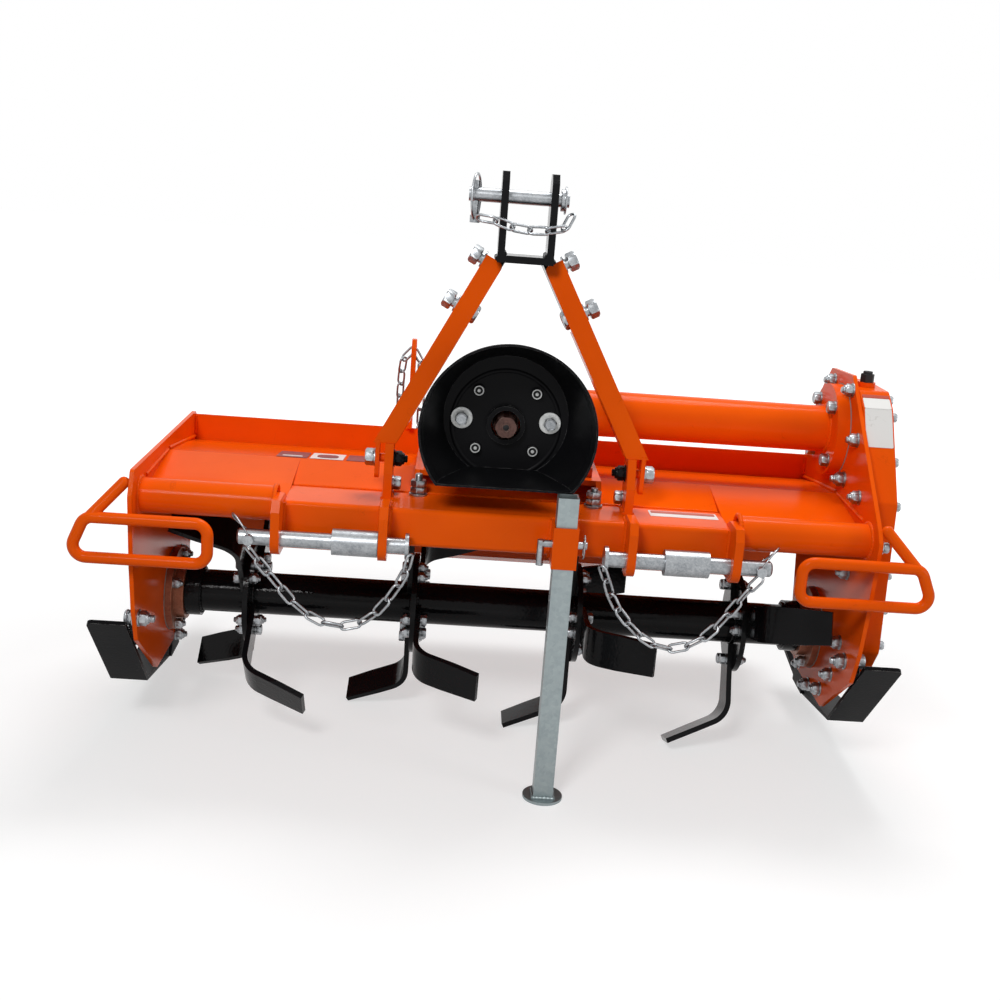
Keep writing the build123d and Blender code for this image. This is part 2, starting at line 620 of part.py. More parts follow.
# ---- parking stand --------------------------------------------------------
STAND_WEB = 14.0           # from the beam's face to the socket
STAND_Y = BEAM_FRONT_Y - STAND_WEB - STAND_TUBE / 2 - STAND_GAP - STAND_SOCKET_WALL
SOCKET_LOW = PIN_HEIGHT - 11.0
STAND_PIN_Z = PIN_HEIGHT + 20.0
STAND_PIN_R = 5.0
STAND_PIN_LEFT = 15.0      # pin's ends beyond the socket
STAND_PIN_RIGHT = 14.0
STAND_HANDLE = (-31.0, 5.0)
STAND_HOLES = [STAND_PIN_Z - 40.0 * i for i in range(4)]


def stand_socket():
    half = STAND_TUBE / 2 + STAND_GAP
    wall = STAND_SOCKET_WALL
    socket = block(
        STAND_X - half - wall, STAND_X + half + wall, STAND_Y - half - wall, BEAM_FRONT_Y,
        SOCKET_LOW, BEAM_TOP,
    )
    socket -= block(
        STAND_X - half, STAND_X + half, STAND_Y - half, STAND_Y + half, SOCKET_LOW - 1, BEAM_TOP + 1,
    )
    return socket - rod_x(
        STAND_X - 60, STAND_X + 60, STAND_Y, STAND_PIN_Z, STAND_PIN_R + PIN_CLEAR,
    )


def stand_leg():
    half = STAND_TUBE / 2
    inner = half - STAND_WALL
    leg = block(STAND_X - half, STAND_X + half, STAND_Y - half, STAND_Y + half, FOOT, STAND_TOP)
    leg -= block(
        STAND_X - inner, STAND_X + inner, STAND_Y - inner, STAND_Y + inner, FOOT, STAND_TOP + 1,
    )
    for z in STAND_HOLES:
        leg -= rod_x(STAND_X - 60, STAND_X + 60, STAND_Y, z, STAND_PIN_R + PIN_CLEAR)
    return leg + rod_z(STAND_X, STAND_Y, 0, FOOT, FOOT_R)


def stand_pin():
    reach = STAND_TUBE / 2 + STAND_SOCKET_WALL
    left = STAND_X - reach - STAND_PIN_LEFT
    pin = rod_x(left, STAND_X + reach + STAND_PIN_RIGHT, STAND_Y, STAND_PIN_Z, STAND_PIN_R)
    low, high = (STAND_PIN_Z + drop for drop in STAND_HANDLE)
    return pin + rod_z(left, STAND_Y, low, high, STAND_PIN_R)


# ---- guard loops ----------------------------------------------------------
def guard_loop():
    """Closed bar loop in front of the plate, held by a rod from the plate."""
    plane = Plane(origin=(0, GUARD_Y, 0), x_dir=(1, 0, 0), z_dir=(0, -1, 0))
    corners = [
        (GUARD_INNER, GUARD_LOW), (GUARD_OUTER, GUARD_LOW), (GUARD_OUTER - GUARD_LEAN, GUARD_HIGH),
        (GUARD_INNER, GUARD_HIGH),
    ]
    path = plane * Polygon(*corners, align=None)
    path = fillet(path.vertices(), GUARD_BEND)
    wire = path.faces()[0].outer_wire()
    section = Plane(origin=wire @ 0, z_dir=wire % 0) * Circle(GUARD_ROD_R)
    loop = sweep(section, path=wire)
    top = Vector(GUARD_OUTER - GUARD_LEAN - 4, GUARD_Y, GUARD_HIGH - 3)
    root = Vector(OUTER + GUARD_ROD_R - 0.5, *GUARD_ROOT)
    span = top - root
    stay = extrude(Plane(origin=root, z_dir=span.normalized()) * Circle(GUARD_ROD_R), amount=span.length)
    stay += Pos(*root) * Sphere(GUARD_ROD_R)
    stay -= block(0, OUTER, -100, 100, 0, FAR)
    return loop + stay


# ---- skids ----------------------------------------------------------------
SKID_LINE = above_pins([(0, -134), (128, -268), (288, -290), (430, -262), (470, -216)])
SKID_TABS = [
    above_pins([(14, -152), (46, -186), (62, -192), (52, -145), (32, -126)]),
    above_pins([(262, -289), (318, -286), (318, -228), (276, -230)]),
]


def skid():
    """Bent flat runner on two tabs that are bolted to the side plate."""
    x0 = OUTER + SKID
    runner = side_sheet(strip(SKID_LINE, SKID), x0, x0 + SKID_WIDTH)
    short = [edge for edge in runner.edges() if abs(edge.length - SKID) < 0.5]
    outer = [edge for edge in short if edge.center().X > x0 + SKID_WIDTH - 1]
    runner = fillet(outer, SKID_CORNER)
    for tab in SKID_TABS:
        runner += side_sheet(tab, OUTER, x0)
    return runner


# ---- rotor ----------------------------------------------------------------
def bearing_housing(side):
    """Flange bolted to the plate, with a narrower ring that holds the bearing."""
    x0, x1 = sorted((side * (INNER - BEARING), side * INNER))
    ring = pipe_x(x0, x1, ROTOR_Y, ROTOR_Z, BEARING_R, STUB_R)
    x0, x1 = sorted((side * (INNER - BEARING_FLANGE), side * INNER))
    return ring + pipe_x(x0, x1, ROTOR_Y, ROTOR_Z, BEARING_FLANGE_R, STUB_R)


def rotor_shaft():
    tube = pipe_x(
        -ROTOR_TUBE_HALF, ROTOR_TUBE_HALF, ROTOR_Y, ROTOR_Z, ROTOR_TUBE_R, ROTOR_TUBE_R - ROTOR_TUBE_WALL,
    )
    bearing_face = INNER - BEARING - 1.0
    for side in (-1, 1):
        ends = sorted((side * (ROTOR_TUBE_HALF - 14), side * (bearing_face - 8)))
        tube += rod_x(*ends, ROTOR_Y, ROTOR_Z, STUB_R + 8)
        ends = sorted((side * (bearing_face - 22), side * bearing_face))
        tube += rod_x(*ends, ROTOR_Y, ROTOR_Z, HUB_R)
        ends = sorted((side * (bearing_face - 1), side * (INNER - 1)))
        tube += rod_x(*ends, ROTOR_Y, ROTOR_Z, STUB_R - SHAFT_CLEAR)
    return tube


def flange(x):
    """Round tine carrier welded on the tube."""
    return pipe_x(x - FLANGE / 2, x + FLANGE / 2, ROTOR_Y, ROTOR_Z, FLANGE_R, ROTOR_TUBE_R)


BEND_SIDE = TINE_BEND * (1 - cos(radians(TINE_FOLD)))
LEG_OUT = (TINE_SIDE - FLANGE / 2 - BEND_SIDE) / sin(radians(TINE_FOLD))
BEND_START = TINE_REACH - TINE_BEND * sin(radians(TINE_FOLD)) - LEG_OUT * cos(radians(TINE_FOLD))


def tine():
    """Blade that hangs straight down from the rotor axis and reaches to +X."""
    x0 = FLANGE / 2
    wide = TINE_WIDTH
    bend = Pos(x0 + TINE_BEND, 0, -BEND_START)
    shank = block(x0, x0 + TINE_THICK, -wide / 2, wide / 2, -BEND_START, -TINE_ROOT)
    ring = Rot(90, 0, 0) * (Cylinder(TINE_BEND, wide) - Cylinder(TINE_BEND - TINE_THICK, wide + 2))
    reach = TINE_BEND + 2
    ring &= block(-reach, 0, -wide, wide, -reach, 0)
    ring -= Rot(0, -TINE_FOLD, 0) * block(-reach, reach, -wide, wide, -reach, 0)
    leg = Rot(0, -TINE_FOLD, 0) * block(
        -TINE_BEND, -TINE_BEND + TINE_THICK, -wide / 2, wide / 2, -LEG_OUT, 0,
    )
    return (shank + bend * (ring + leg)) & tine_trim()


def tine_trim():
    """Side view of a blade: a narrower shank that widens, then narrows to the tip."""
    half = TINE_WIDTH / 2
    tip = TINE_TIP / 2
    narrow = TINE_NARROW / 2
    ends = (-FLANGE_R - TINE_WIDEN[0], -BEND_START - TINE_WIDEN[1])
    low = -TINE_REACH - 0.01
    right = [
        (narrow, -TINE_ROOT), (narrow, ends[0]), (half, ends[1]), (half, -TINE_REACH + TINE_NARROWS),
        (tip, low),
    ]
    points = right + [(-y, z) for y, z in right[::-1]]
    return side_sheet(points, 0.0, TINE_SIDE + 10)


def tines(x, in_turn):
    """Four blades of one flange: two reach each way, a quarter turn apart."""
    placed = []
    outward = tine()
    for blade, first in ((mirror_x(outward), in_turn), (outward, in_turn + 90)):
        for turn in (first, first + 180):
            # A positive turn swings the blade from straight down to the front.
            placed.append(Pos(x, ROTOR_Y, ROTOR_Z) * Rot(-turn, 0, 0) * blade)
    return placed


# ---- tailboard ------------------------------------------------------------
KNUCKLE_LENGTH = 40.0
KNUCKLE_GAP = 0.4
KNUCKLE_XS = [-INNER + 90 + (WORK_WIDTH - 180) / 3 * i for i in range(4)]


def board_local():
    """Tailboard hanging straight down from its hinge axis, with bent lower edge."""
    half = INNER - SIDE_GAP
    sheet = block(-half, half, -BOARD / 2, BOARD / 2, -BOARD_LENGTH, -HINGE_KNUCKLE_R - 6)
    lip = block(-half, half, -BOARD / 2, BOARD / 2, -BOARD_LIP, 2)
    lip = Pos(0, 0, -BOARD_LENGTH) * Rot(BOARD_LIP_TURN, 0, 0) * lip
    board = sheet + lip
    for x in KNUCKLE_XS:
        ends = (x + KNUCKLE_GAP, x + KNUCKLE_LENGTH)
        board += block(*ends, -BOARD / 2, BOARD / 2, -HINGE_KNUCKLE_R - 8, -HINGE_PIN_R - 1)
        board += rod_x(*ends, 0, 0, HINGE_KNUCKLE_R)
        board -= rod_x(x - 1, x + KNUCKLE_LENGTH + 1, 0, 0, HINGE_PIN_R + PIN_CLEAR)
    for side in (-1, 1):
        x = side * HOOK_X
        low = -BOARD_LENGTH + HOOK
        board += block(x, x + HOOK, BOARD / 2 - 1, HOOK_REACH, low, low + HOOK_TALL)
    return board


def tailboard():
    turn = 90 - BOARD_RAISED
    return Pos(0, HINGE_Y, HINGE_Z) * Rot(turn, 0, 0) * board_local()


def hinge_knuckles():
    """Fixed knuckles and pins on the rear plate."""
    made = []
    face = REAR_PLATE_Y + SHEET
    for x in KNUCKLE_XS:
        ends = (x - KNUCKLE_LENGTH, x - KNUCKLE_GAP)
        knuckle = rod_x(*ends, HINGE_Y, HINGE_Z, HINGE_KNUCKLE_R)
        knuckle += block(*ends, face, HINGE_Y, HINGE_Z - 4, HINGE_Z + 4)
        pin = rod_x(x - KNUCKLE_LENGTH, x + KNUCKLE_LENGTH + 4, HINGE_Y, HINGE_Z, HINGE_PIN_R)
        made.append(knuckle + pin)
    return made


CHAIN_LUG_X = -155.0
CHAIN_LUG = 8.0
CHAIN_LUG_HOLE = (404.0, PIN_HEIGHT + 214.0)
CHAIN_LUG_HOLE_R = 6.0
CHAIN_LUG_OUTLINE = above_pins([
    (380, 84), (REAR_PLATE_Y, 84), (REAR_PLATE_Y, 82), (399, 82), (399, 50), (417, 50), (417, 218),
    (411, 228), (397, 228), (391, 214),
])


def chain_lug():
    """Upright bar on the rear plate that the tailboard chain hangs from."""
    x0 = CHAIN_LUG_X - CHAIN_LUG / 2
    x1 = x0 + CHAIN_LUG
    lug = side_sheet(CHAIN_LUG_OUTLINE, x0, x1)
    return lug - rod_x(x0 - 1, x1 + 1, *CHAIN_LUG_HOLE, CHAIN_LUG_HOLE_R)


# ---- write the parts ------------------------------------------------------
os.makedirs("parts", exist_ok=True)

save("side_plate_left", [side_plate(LEFT_OUTLINE, -1)])
save("side_plate_right", [side_plate(RIGHT_OUTLINE, 1)])
save("front_beam", [front_beam()])
save("front_tubes", [front_tube(-1), front_tube(1)])
save("deck", [deck()])
save("rear_plate", [rear_plate()])
save("gearbox_mount", [gearbox_mount()])
save("gearbox", [gearbox()])
save("input_shaft", [input_shaft()])
save("drive_tube", [drive_tube()])
save("pto_shield", [pto_shield()])
save("gear_case", [gear_case()])
save("vent_plug", [vent_plug()])
save("mast_arms", [mast_arm(), mirror_x(mast_arm())])
save("mast_lugs", [mast_lug(), mirror_x(mast_lug())])
save("mast_clevis", [mast_clevis()])
save("clevis_legs", [clevis_leg(), mirror_x(clevis_leg())])
save("top_pin", [top_pin()])
EAR_XS = [EAR_SPAN_IN, EAR_SPAN_OUT - EAR]
save("hitch_ears", [hitch_ear(x) for x in EAR_XS + [-x - EAR for x in EAR_XS]])
save("lower_pin_left", [lower_pin(-1)])
save("lower_pin_right", [lower_pin(1)])
save("pin_sleeves", [sleeve(-EAR_SPAN_IN - EAR - 1 - SLEEVE_LENGTH), sleeve(SLEEVE_RIGHT_X)])
save("linch_pins", [lower_linch(-LINCH_X), lower_linch(LINCH_X), top_linch()])
save("stand_socket", [stand_socket()])
save("stand_leg", [stand_leg()])
save("stand_pin", [stand_pin()])
save("guard_loop_left", [mirror_x(guard_loop())])
save("guard_loop_right", [guard_loop()])
for label, side in (("left", -1), ("right", 1)):
    save(f"skid_{label}", [skid() if side > 0 else mirror_x(skid())])
    save(f"bearing_housing_{label}", [bearing_housing(side)])
save("rotor_shaft", [rotor_shaft()])
save("tine_flanges", [flange(x) for x in FLANGE_XS])
for number, (x, turn) in enumerate(zip(FLANGE_XS, IN_TURNS), start=1):
    save(f"tines_{number}", tines(x, turn))
save("tailboard", [tailboard()])
save("tailboard_hinges", hinge_knuckles())
save("chain_lug", [chain_lug()])
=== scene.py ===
# %% [markdown]
# # A rotary tiller for a small tractor
# The machine hangs on a tractor's three-point hitch. A shaft from the tractor
# drives a gearbox in the middle, a tube carries the drive to a gear case at the
# side, and the case turns a rotor with bent blades that break up the soil.
# The large shapes come from the CAD model and stay as they are. This lesson adds
# what sheet metal and tubes look like when they are finished: paint, plating,
# bolts, weld beads, chains and blank labels.

# %% Load the frame
import json
import math

import bmesh
import bpy
from mathutils import Matrix, Vector, noise


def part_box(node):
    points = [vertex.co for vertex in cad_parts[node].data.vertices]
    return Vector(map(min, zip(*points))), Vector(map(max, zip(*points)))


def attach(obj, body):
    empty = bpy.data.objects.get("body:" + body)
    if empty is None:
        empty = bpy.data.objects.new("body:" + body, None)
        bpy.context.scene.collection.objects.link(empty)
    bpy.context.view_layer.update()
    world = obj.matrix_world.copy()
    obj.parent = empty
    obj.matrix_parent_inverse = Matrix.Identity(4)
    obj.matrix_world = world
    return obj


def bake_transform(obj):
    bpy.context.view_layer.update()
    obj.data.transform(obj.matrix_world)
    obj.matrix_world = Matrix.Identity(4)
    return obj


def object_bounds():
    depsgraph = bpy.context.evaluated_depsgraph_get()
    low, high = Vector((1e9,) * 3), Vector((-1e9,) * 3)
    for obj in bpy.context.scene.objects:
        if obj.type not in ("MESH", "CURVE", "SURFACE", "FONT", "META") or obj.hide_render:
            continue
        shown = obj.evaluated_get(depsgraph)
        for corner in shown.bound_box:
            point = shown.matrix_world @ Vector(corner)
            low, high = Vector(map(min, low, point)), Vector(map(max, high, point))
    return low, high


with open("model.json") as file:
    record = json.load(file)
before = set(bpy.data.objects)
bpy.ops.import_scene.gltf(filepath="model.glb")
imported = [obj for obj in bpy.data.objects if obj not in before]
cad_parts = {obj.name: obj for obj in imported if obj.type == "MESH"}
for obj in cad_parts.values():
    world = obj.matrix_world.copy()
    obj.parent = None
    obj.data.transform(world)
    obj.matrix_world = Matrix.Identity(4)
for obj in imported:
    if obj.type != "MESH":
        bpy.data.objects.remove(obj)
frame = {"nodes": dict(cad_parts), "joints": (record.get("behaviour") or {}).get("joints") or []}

nodes = frame["nodes"]
cad_box = [list(corner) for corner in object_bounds()]
print(len(nodes), "CAD nodes in the box", cad_box)

# %% [markdown]
# ## Reference heights
# A fitter measures an implement from its hitch pins, because that is where the
# tractor holds it. So every small piece below is placed in millimetres from the
# middle of the machine, from the hitch pins' line, and above or below them.

# %% A place on the machine
def middle_of(node):
    lowest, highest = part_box(node)
    return (Vector(lowest) + Vector(highest)) / 2


pin_height = middle_of("lower_pin_left").z
plate_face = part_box("side_plate_right")[0][0] * 1000
rotor_axis = Vector(frame["joints"][0]["pos_m"])
shaft_axis = Vector(frame["joints"][1]["pos_m"])


def spot(across, back, rise):
    """A point in metres: right of the middle, behind the hitch pins, above them."""
    return Vector((across, back, rise)) / 1000 + Vector((0, 0, pin_height))


print("pins at", round(pin_height, 4), "plate faces at", round(plate_face, 1), "mm")

# %% [markdown]
# ## Sprayed skin
# Paint and powder never dry quite flat. They leave a fine orange-peel surface
# that breaks up highlights, and slow changes in gloss from one area to the next.
# One noise gives the fine height and one the slow patches. Both read object
# coordinates, so the grain has a real size in metres and follows moving parts.
# The first cell holds the tools for building any node group.

# %% Tools for a node group
def new_group(name, sizes, results):
    """A shader node group of number sockets; returns its tree, input and output."""
    tree = bpy.data.node_groups.new(name, "ShaderNodeTree")
    for label, value in sizes.items():
        socket = tree.interface.new_socket(name=label, in_out="INPUT", socket_type="NodeSocketFloat")
        socket.default_value = value
    for label in results:
        tree.interface.new_socket(name=label, in_out="OUTPUT", socket_type="NodeSocketFloat")
    return tree, tree.nodes.new("NodeGroupInput"), tree.nodes.new("NodeGroupOutput")


def noise_node(tree, detail, roughness=0.5):
    """A noise texture on object coordinates."""
    coordinates = tree.nodes.new("ShaderNodeTexCoord")
    grain = tree.nodes.new("ShaderNodeTexNoise")
    grain.inputs["Detail"].default_value = detail
    grain.inputs["Roughness"].default_value = roughness
    tree.links.new(coordinates.outputs["Object"], grain.inputs["Vector"])
    return grain


def ramp_node(tree, source, low, high, to_low=0.0, to_high=1.0):
    """Stretches a value between two limits."""
    spread = tree.nodes.new("ShaderNodeMapRange")
    spread.inputs["From Min"].default_value = low
    spread.inputs["From Max"].default_value = high
    spread.inputs["To Min"].default_value = to_low
    spread.inputs["To Max"].default_value = to_high
    tree.links.new(source, spread.inputs["Value"])
    return spread.outputs["Result"]


def math_node(tree, operation, *terms):
    """One step of arithmetic on numbers or the outputs of nodes."""
    step = tree.nodes.new("ShaderNodeMath")
    step.operation = operation
    for place, term in enumerate(terms):
        if isinstance(term, float):
            step.inputs[place].default_value = term
        else:
            tree.links.new(term, step.inputs[place])
    return step.outputs["Value"]


print("node tools: groups, noise, ramps and arithmetic")

# %% Orange peel and slow patches
sprayed_skin, given, result = new_group(
    "sprayed_skin", {"Peel Scale": 420.0, "Patch Scale": 7.0}, ["Height", "Patches"])
peel = noise_node(sprayed_skin, 1.5)
patch = noise_node(sprayed_skin, 3.0)
sprayed_skin.links.new(given.outputs["Peel Scale"], peel.inputs["Scale"])
sprayed_skin.links.new(given.outputs["Patch Scale"], patch.inputs["Scale"])
sprayed_skin.links.new(peel.outputs["Fac"], result.inputs["Height"])
sprayed_skin.links.new(ramp_node(sprayed_skin, patch.outputs["Fac"], 0.3, 0.7), result.inputs["Patches"])
print(sprayed_skin.name, "gives", [s.name for s in sprayed_skin.interface.items_tree])

# %% [markdown]
# ## Rubbed edges
# Corners of sheet metal lose their finish first. The Bevel node bends the normal
# only near an edge, so the difference between it and the true normal is a mask
# of edges. A noise breaks the mask up, because wear is never an even line.

# %% A node group for rubbed edges
BEVEL_SAMPLES = 4
rubbed_edges, given, result = new_group(
    "rubbed_edges", {"Width": 0.0012, "Breakup": 90.0, "Amount": 0.5}, ["Mask"])
rounded = rubbed_edges.nodes.new("ShaderNodeBevel")
rounded.samples = BEVEL_SAMPLES
true_face = rubbed_edges.nodes.new("ShaderNodeNewGeometry")
alike = rubbed_edges.nodes.new("ShaderNodeVectorMath")
alike.operation = "DOT_PRODUCT"
rubbed_edges.links.new(given.outputs["Width"], rounded.inputs["Radius"])
rubbed_edges.links.new(rounded.outputs["Normal"], alike.inputs[0])
rubbed_edges.links.new(true_face.outputs["Normal"], alike.inputs[1])
edge = ramp_node(rubbed_edges, alike.outputs["Value"], 0.985, 0.90)
breaks = noise_node(rubbed_edges, 4.0, 0.6)
rubbed_edges.links.new(given.outputs["Breakup"], breaks.inputs["Scale"])
broken = ramp_node(rubbed_edges, breaks.outputs["Fac"], 0.42, 0.62)
worn = math_node(rubbed_edges, "MULTIPLY", edge, broken)
mask = math_node(rubbed_edges, "MULTIPLY", worn, given.outputs["Amount"])
rubbed_edges.links.new(mask, result.inputs["Mask"])
print(rubbed_edges.name, "has", len(rubbed_edges.nodes), "nodes")

# %% [markdown]
# ## Fine scratches
# Handling leaves a few hair-thin marks. A line where a distorted noise crosses
# its middle value is long and curved like a scratch, and a second noise lets
# only some of those lines show.

# %% A node group for fine scratches
fine_scratches, given, result = new_group(
    "fine_scratches", {"Scale": 14.0, "Width": 0.004, "Amount": 0.3}, ["Mask"])
swirl = noise_node(fine_scratches, 5.0, 0.45)
swirl.inputs["Distortion"].default_value = 1.6
fine_scratches.links.new(given.outputs["Scale"], swirl.inputs["Scale"])
off_middle = math_node(fine_scratches, "SUBTRACT", swirl.outputs["Fac"], 0.5)
distance = math_node(fine_scratches, "ABSOLUTE", off_middle)
near = math_node(fine_scratches, "LESS_THAN", distance, given.outputs["Width"])
few = noise_node(fine_scratches, 2.0)
few.inputs["Scale"].default_value = 22.0
kept = ramp_node(fine_scratches, few.outputs["Fac"], 0.55, 0.65)
some = math_node(fine_scratches, "MULTIPLY", near, kept)
mask = math_node(fine_scratches, "MULTIPLY", some, given.outputs["Amount"])
fine_scratches.links.new(mask, result.inputs["Mask"])
print(fine_scratches.name, "has", len(fine_scratches.nodes), "nodes")

# %% [markdown]
# ## Zinc bloom
# Zinc plating and galvanising grow in small crystals, so the surface is a
# patchwork of slightly lighter and darker greys. A Voronoi pattern is that
# patchwork, and a fine noise softens it.

# %% A node group for zinc crystals
zinc_bloom, given, result = new_group("zinc_bloom", {"Crystal Scale": 260.0}, ["Tone", "Height"])
crystals = zinc_bloom.nodes.new("ShaderNodeTexVoronoi")
where = zinc_bloom.nodes.new("ShaderNodeTexCoord")
zinc_bloom.links.new(where.outputs["Object"], crystals.inputs["Vector"])
zinc_bloom.links.new(given.outputs["Crystal Scale"], crystals.inputs["Scale"])
grey = zinc_bloom.nodes.new("ShaderNodeSeparateColor")
zinc_bloom.links.new(crystals.outputs["Color"], grey.inputs["Color"])
clouds = noise_node(zinc_bloom, 4.0, 0.6)
clouds.inputs["Scale"].default_value = 60.0
soft = ramp_node(zinc_bloom, clouds.outputs["Fac"], 0.3, 0.7, 0.0, 0.55)
tone = math_node(zinc_bloom, "MULTIPLY_ADD", grey.outputs["Red"], 0.45, soft)
zinc_bloom.links.new(tone, result.inputs["Tone"])
zinc_bloom.links.new(clouds.outputs["Fac"], result.inputs["Height"])
print(zinc_bloom.name, "has", len(zinc_bloom.nodes), "nodes")

# %% [markdown]
# ## Tools for a material
# Every finish below uses the same few moves: place a group with its own values,
# mix two colours by a mask, and turn a height into bump. The Bevel node rounds
# every edge a little for the light, which makes a cut sheet look like real metal.

# %% Groups, mixes and bump in a material
EDGE_RADIUS = 0.0008


def place_group(tree, group, **values):
    """Places a node group and sets its inputs; _ stands for a space in a name."""
    node = tree.nodes.new("ShaderNodeGroup")
    node.node_tree = group
    for label, value in values.items():
        node.inputs[label.replace("_", " ")].default_value = value
    return node


def mix_colours(tree, factor, first, second):
    """Mixes two colours, or the outputs of two nodes, by a mask."""
    blend = tree.nodes.new("ShaderNodeMix")
    blend.data_type = "RGBA"
    tree.links.new(factor, blend.inputs[0])
    for place, colour in ((6, first), (7, second)):
        if isinstance(colour, tuple):
            blend.inputs[place].default_value = (*colour, 1.0)
        else:
            tree.links.new(colour, blend.inputs[place])
    return blend.outputs[2]


def new_finish(name):
    """A new material, its node tree and its Principled shader."""
    finish = bpy.data.materials.new(name)
    finish.use_nodes = True
    return finish, finish.node_tree, finish.node_tree.nodes["Principled BSDF"]


def add_bump(tree, shader, height, depth, edge_radius=EDGE_RADIUS):
    """Bump from a height, on edges that are rounded a little."""
    rounding = tree.nodes.new("ShaderNodeBevel")
    rounding.samples = BEVEL_SAMPLES
    rounding.inputs["Radius"].default_value = edge_radius
    bump = tree.nodes.new("ShaderNodeBump")
    bump.inputs["Distance"].default_value = depth
    bump.inputs["Strength"].default_value = 1.0
    tree.links.new(height, bump.inputs["Height"])
    tree.links.new(rounding.outputs["Normal"], bump.inputs["Normal"])
    tree.links.new(bump.outputs["Normal"], shader.inputs["Normal"])


print("edges are rounded by", EDGE_RADIUS, "m unless a finish says otherwise")

# %% [markdown]
# ## Painted finishes
# The frame is sprayed bright orange, and the rotor and clevis gloss black. The
# skids wear a duller black that soil has rubbed, and their pale edges are partly
# wear and partly a painted highlight. The shaft shield wears a satin black. They
# share one recipe: a colour with slow patches, another tone where edges are
# rubbed, faint scratches, and the sprayed skin as bump.

# %% A recipe for paint
def paint(name, colour, shade, bare, gloss, depth, peel, coat=0.0, rub=0.5, marks=0.25, specular=0.25):
    """A sprayed finish; gloss is the roughness range, depth the peel's height."""
    finish, tree, shader = new_finish(name)
    skin = place_group(tree, sprayed_skin, Peel_Scale=peel)
    edges = place_group(tree, rubbed_edges, Amount=rub)
    lines = place_group(tree, fine_scratches, Amount=marks)
    base = mix_colours(tree, skin.outputs["Patches"], colour, shade)
    base = mix_colours(tree, lines.outputs["Mask"], base, bare)
    base = mix_colours(tree, edges.outputs["Mask"], base, bare)
    tree.links.new(base, shader.inputs["Base Color"])
    tree.links.new(ramp_node(tree, skin.outputs["Patches"], 0, 1, *gloss), shader.inputs["Roughness"])
    add_bump(tree, shader, skin.outputs["Height"], depth)
    shader.inputs["Specular IOR Level"].default_value = specular
    shader.inputs["Coat Weight"].default_value = coat
    shader.inputs["Coat Roughness"].default_value = 0.1
    return finish


deep_black = (0.0045, 0.0045, 0.0052)
orange_paint = paint("orange_paint", (0.90, 0.108, 0.002), (0.80, 0.088, 0.002), (0.5, 0.05, 0.004),
                     (0.11, 0.18), 0.00011, 420.0, specular=0.045)
black_paint = paint("black_gloss_paint", deep_black, (0.007, 0.007, 0.008), (0.04, 0.04, 0.043),
                    (0.08, 0.16), 0.00028, 260.0, rub=0.25, marks=0.08, specular=0.10)
shield_paint = paint("satin_black_shield", deep_black, (0.006, 0.006, 0.007), (0.16, 0.16, 0.16),
                     (0.36, 0.44), 0.00003, 500.0, rub=0.8, marks=0.0, specular=0.08)
# Painted highlight: the skids' pale edge tone stands partly for light caught on their top front edges,
# and partly for wear.
skid_paint_worn_and_highlit = paint("skid_black_paint_worn_and_highlit", deep_black, (0.008, 0.008, 0.009), (0.35, 0.35, 0.34),
                   (0.30, 0.42), 0.00015, 260.0, rub=0.8, marks=0.05, specular=0.03)
print("paints:", orange_paint.name, black_paint.name, shield_paint.name, skid_paint_worn_and_highlit.name)

# %% [markdown]
# ## Cast orange
# The gearbox is a sand casting under the same orange. Its skin is coarser, so
# the bump has a larger grain and the gloss is lower.

# %% Cast orange paint
cast_orange, tree, shader = new_finish("cast_orange")
coarse = place_group(tree, sprayed_skin, Peel_Scale=170.0, Patch_Scale=30.0)
tree.links.new(mix_colours(tree, coarse.outputs["Patches"], (0.86, 0.10, 0.003), (0.72, 0.078, 0.003)),
               shader.inputs["Base Color"])
tree.links.new(ramp_node(tree, coarse.outputs["Patches"], 0, 1, 0.34, 0.5), shader.inputs["Roughness"])
add_bump(tree, shader, coarse.outputs["Height"], 0.0008, 0.002)
shader.inputs["Specular IOR Level"].default_value = 0.15
print(cast_orange.name, "has", len(tree.nodes), "nodes")

# %% [markdown]
# ## Plated and bare metals
# Hitch pins, chains and bolts are zinc plated, the parking leg is galvanised
# square tube, the bearing housings are copper-brown and the splined shaft is
# dark oiled steel. A metal shows its colour only in what it reflects, so its
# looks come from tone and roughness. The dulled ones are only partly metallic.

# %% A recipe for metals
def metal(name, light, dark, gloss, crystal, depth, metallic=1.0, rub_colour=None):
    """A plated or bare metal whose tone follows its crystals."""
    finish, tree, shader = new_finish(name)
    bloom = place_group(tree, zinc_bloom, Crystal_Scale=crystal)
    base = mix_colours(tree, bloom.outputs["Tone"], dark, light)
    if rub_colour:
        edges = place_group(tree, rubbed_edges, Amount=0.7)
        base = mix_colours(tree, edges.outputs["Mask"], base, rub_colour)
    tree.links.new(base, shader.inputs["Base Color"])
    tree.links.new(ramp_node(tree, bloom.outputs["Tone"], 0, 1, *gloss), shader.inputs["Roughness"])
    add_bump(tree, shader, bloom.outputs["Height"], depth, 0.0005)
    shader.inputs["Metallic"].default_value = metallic
    return finish


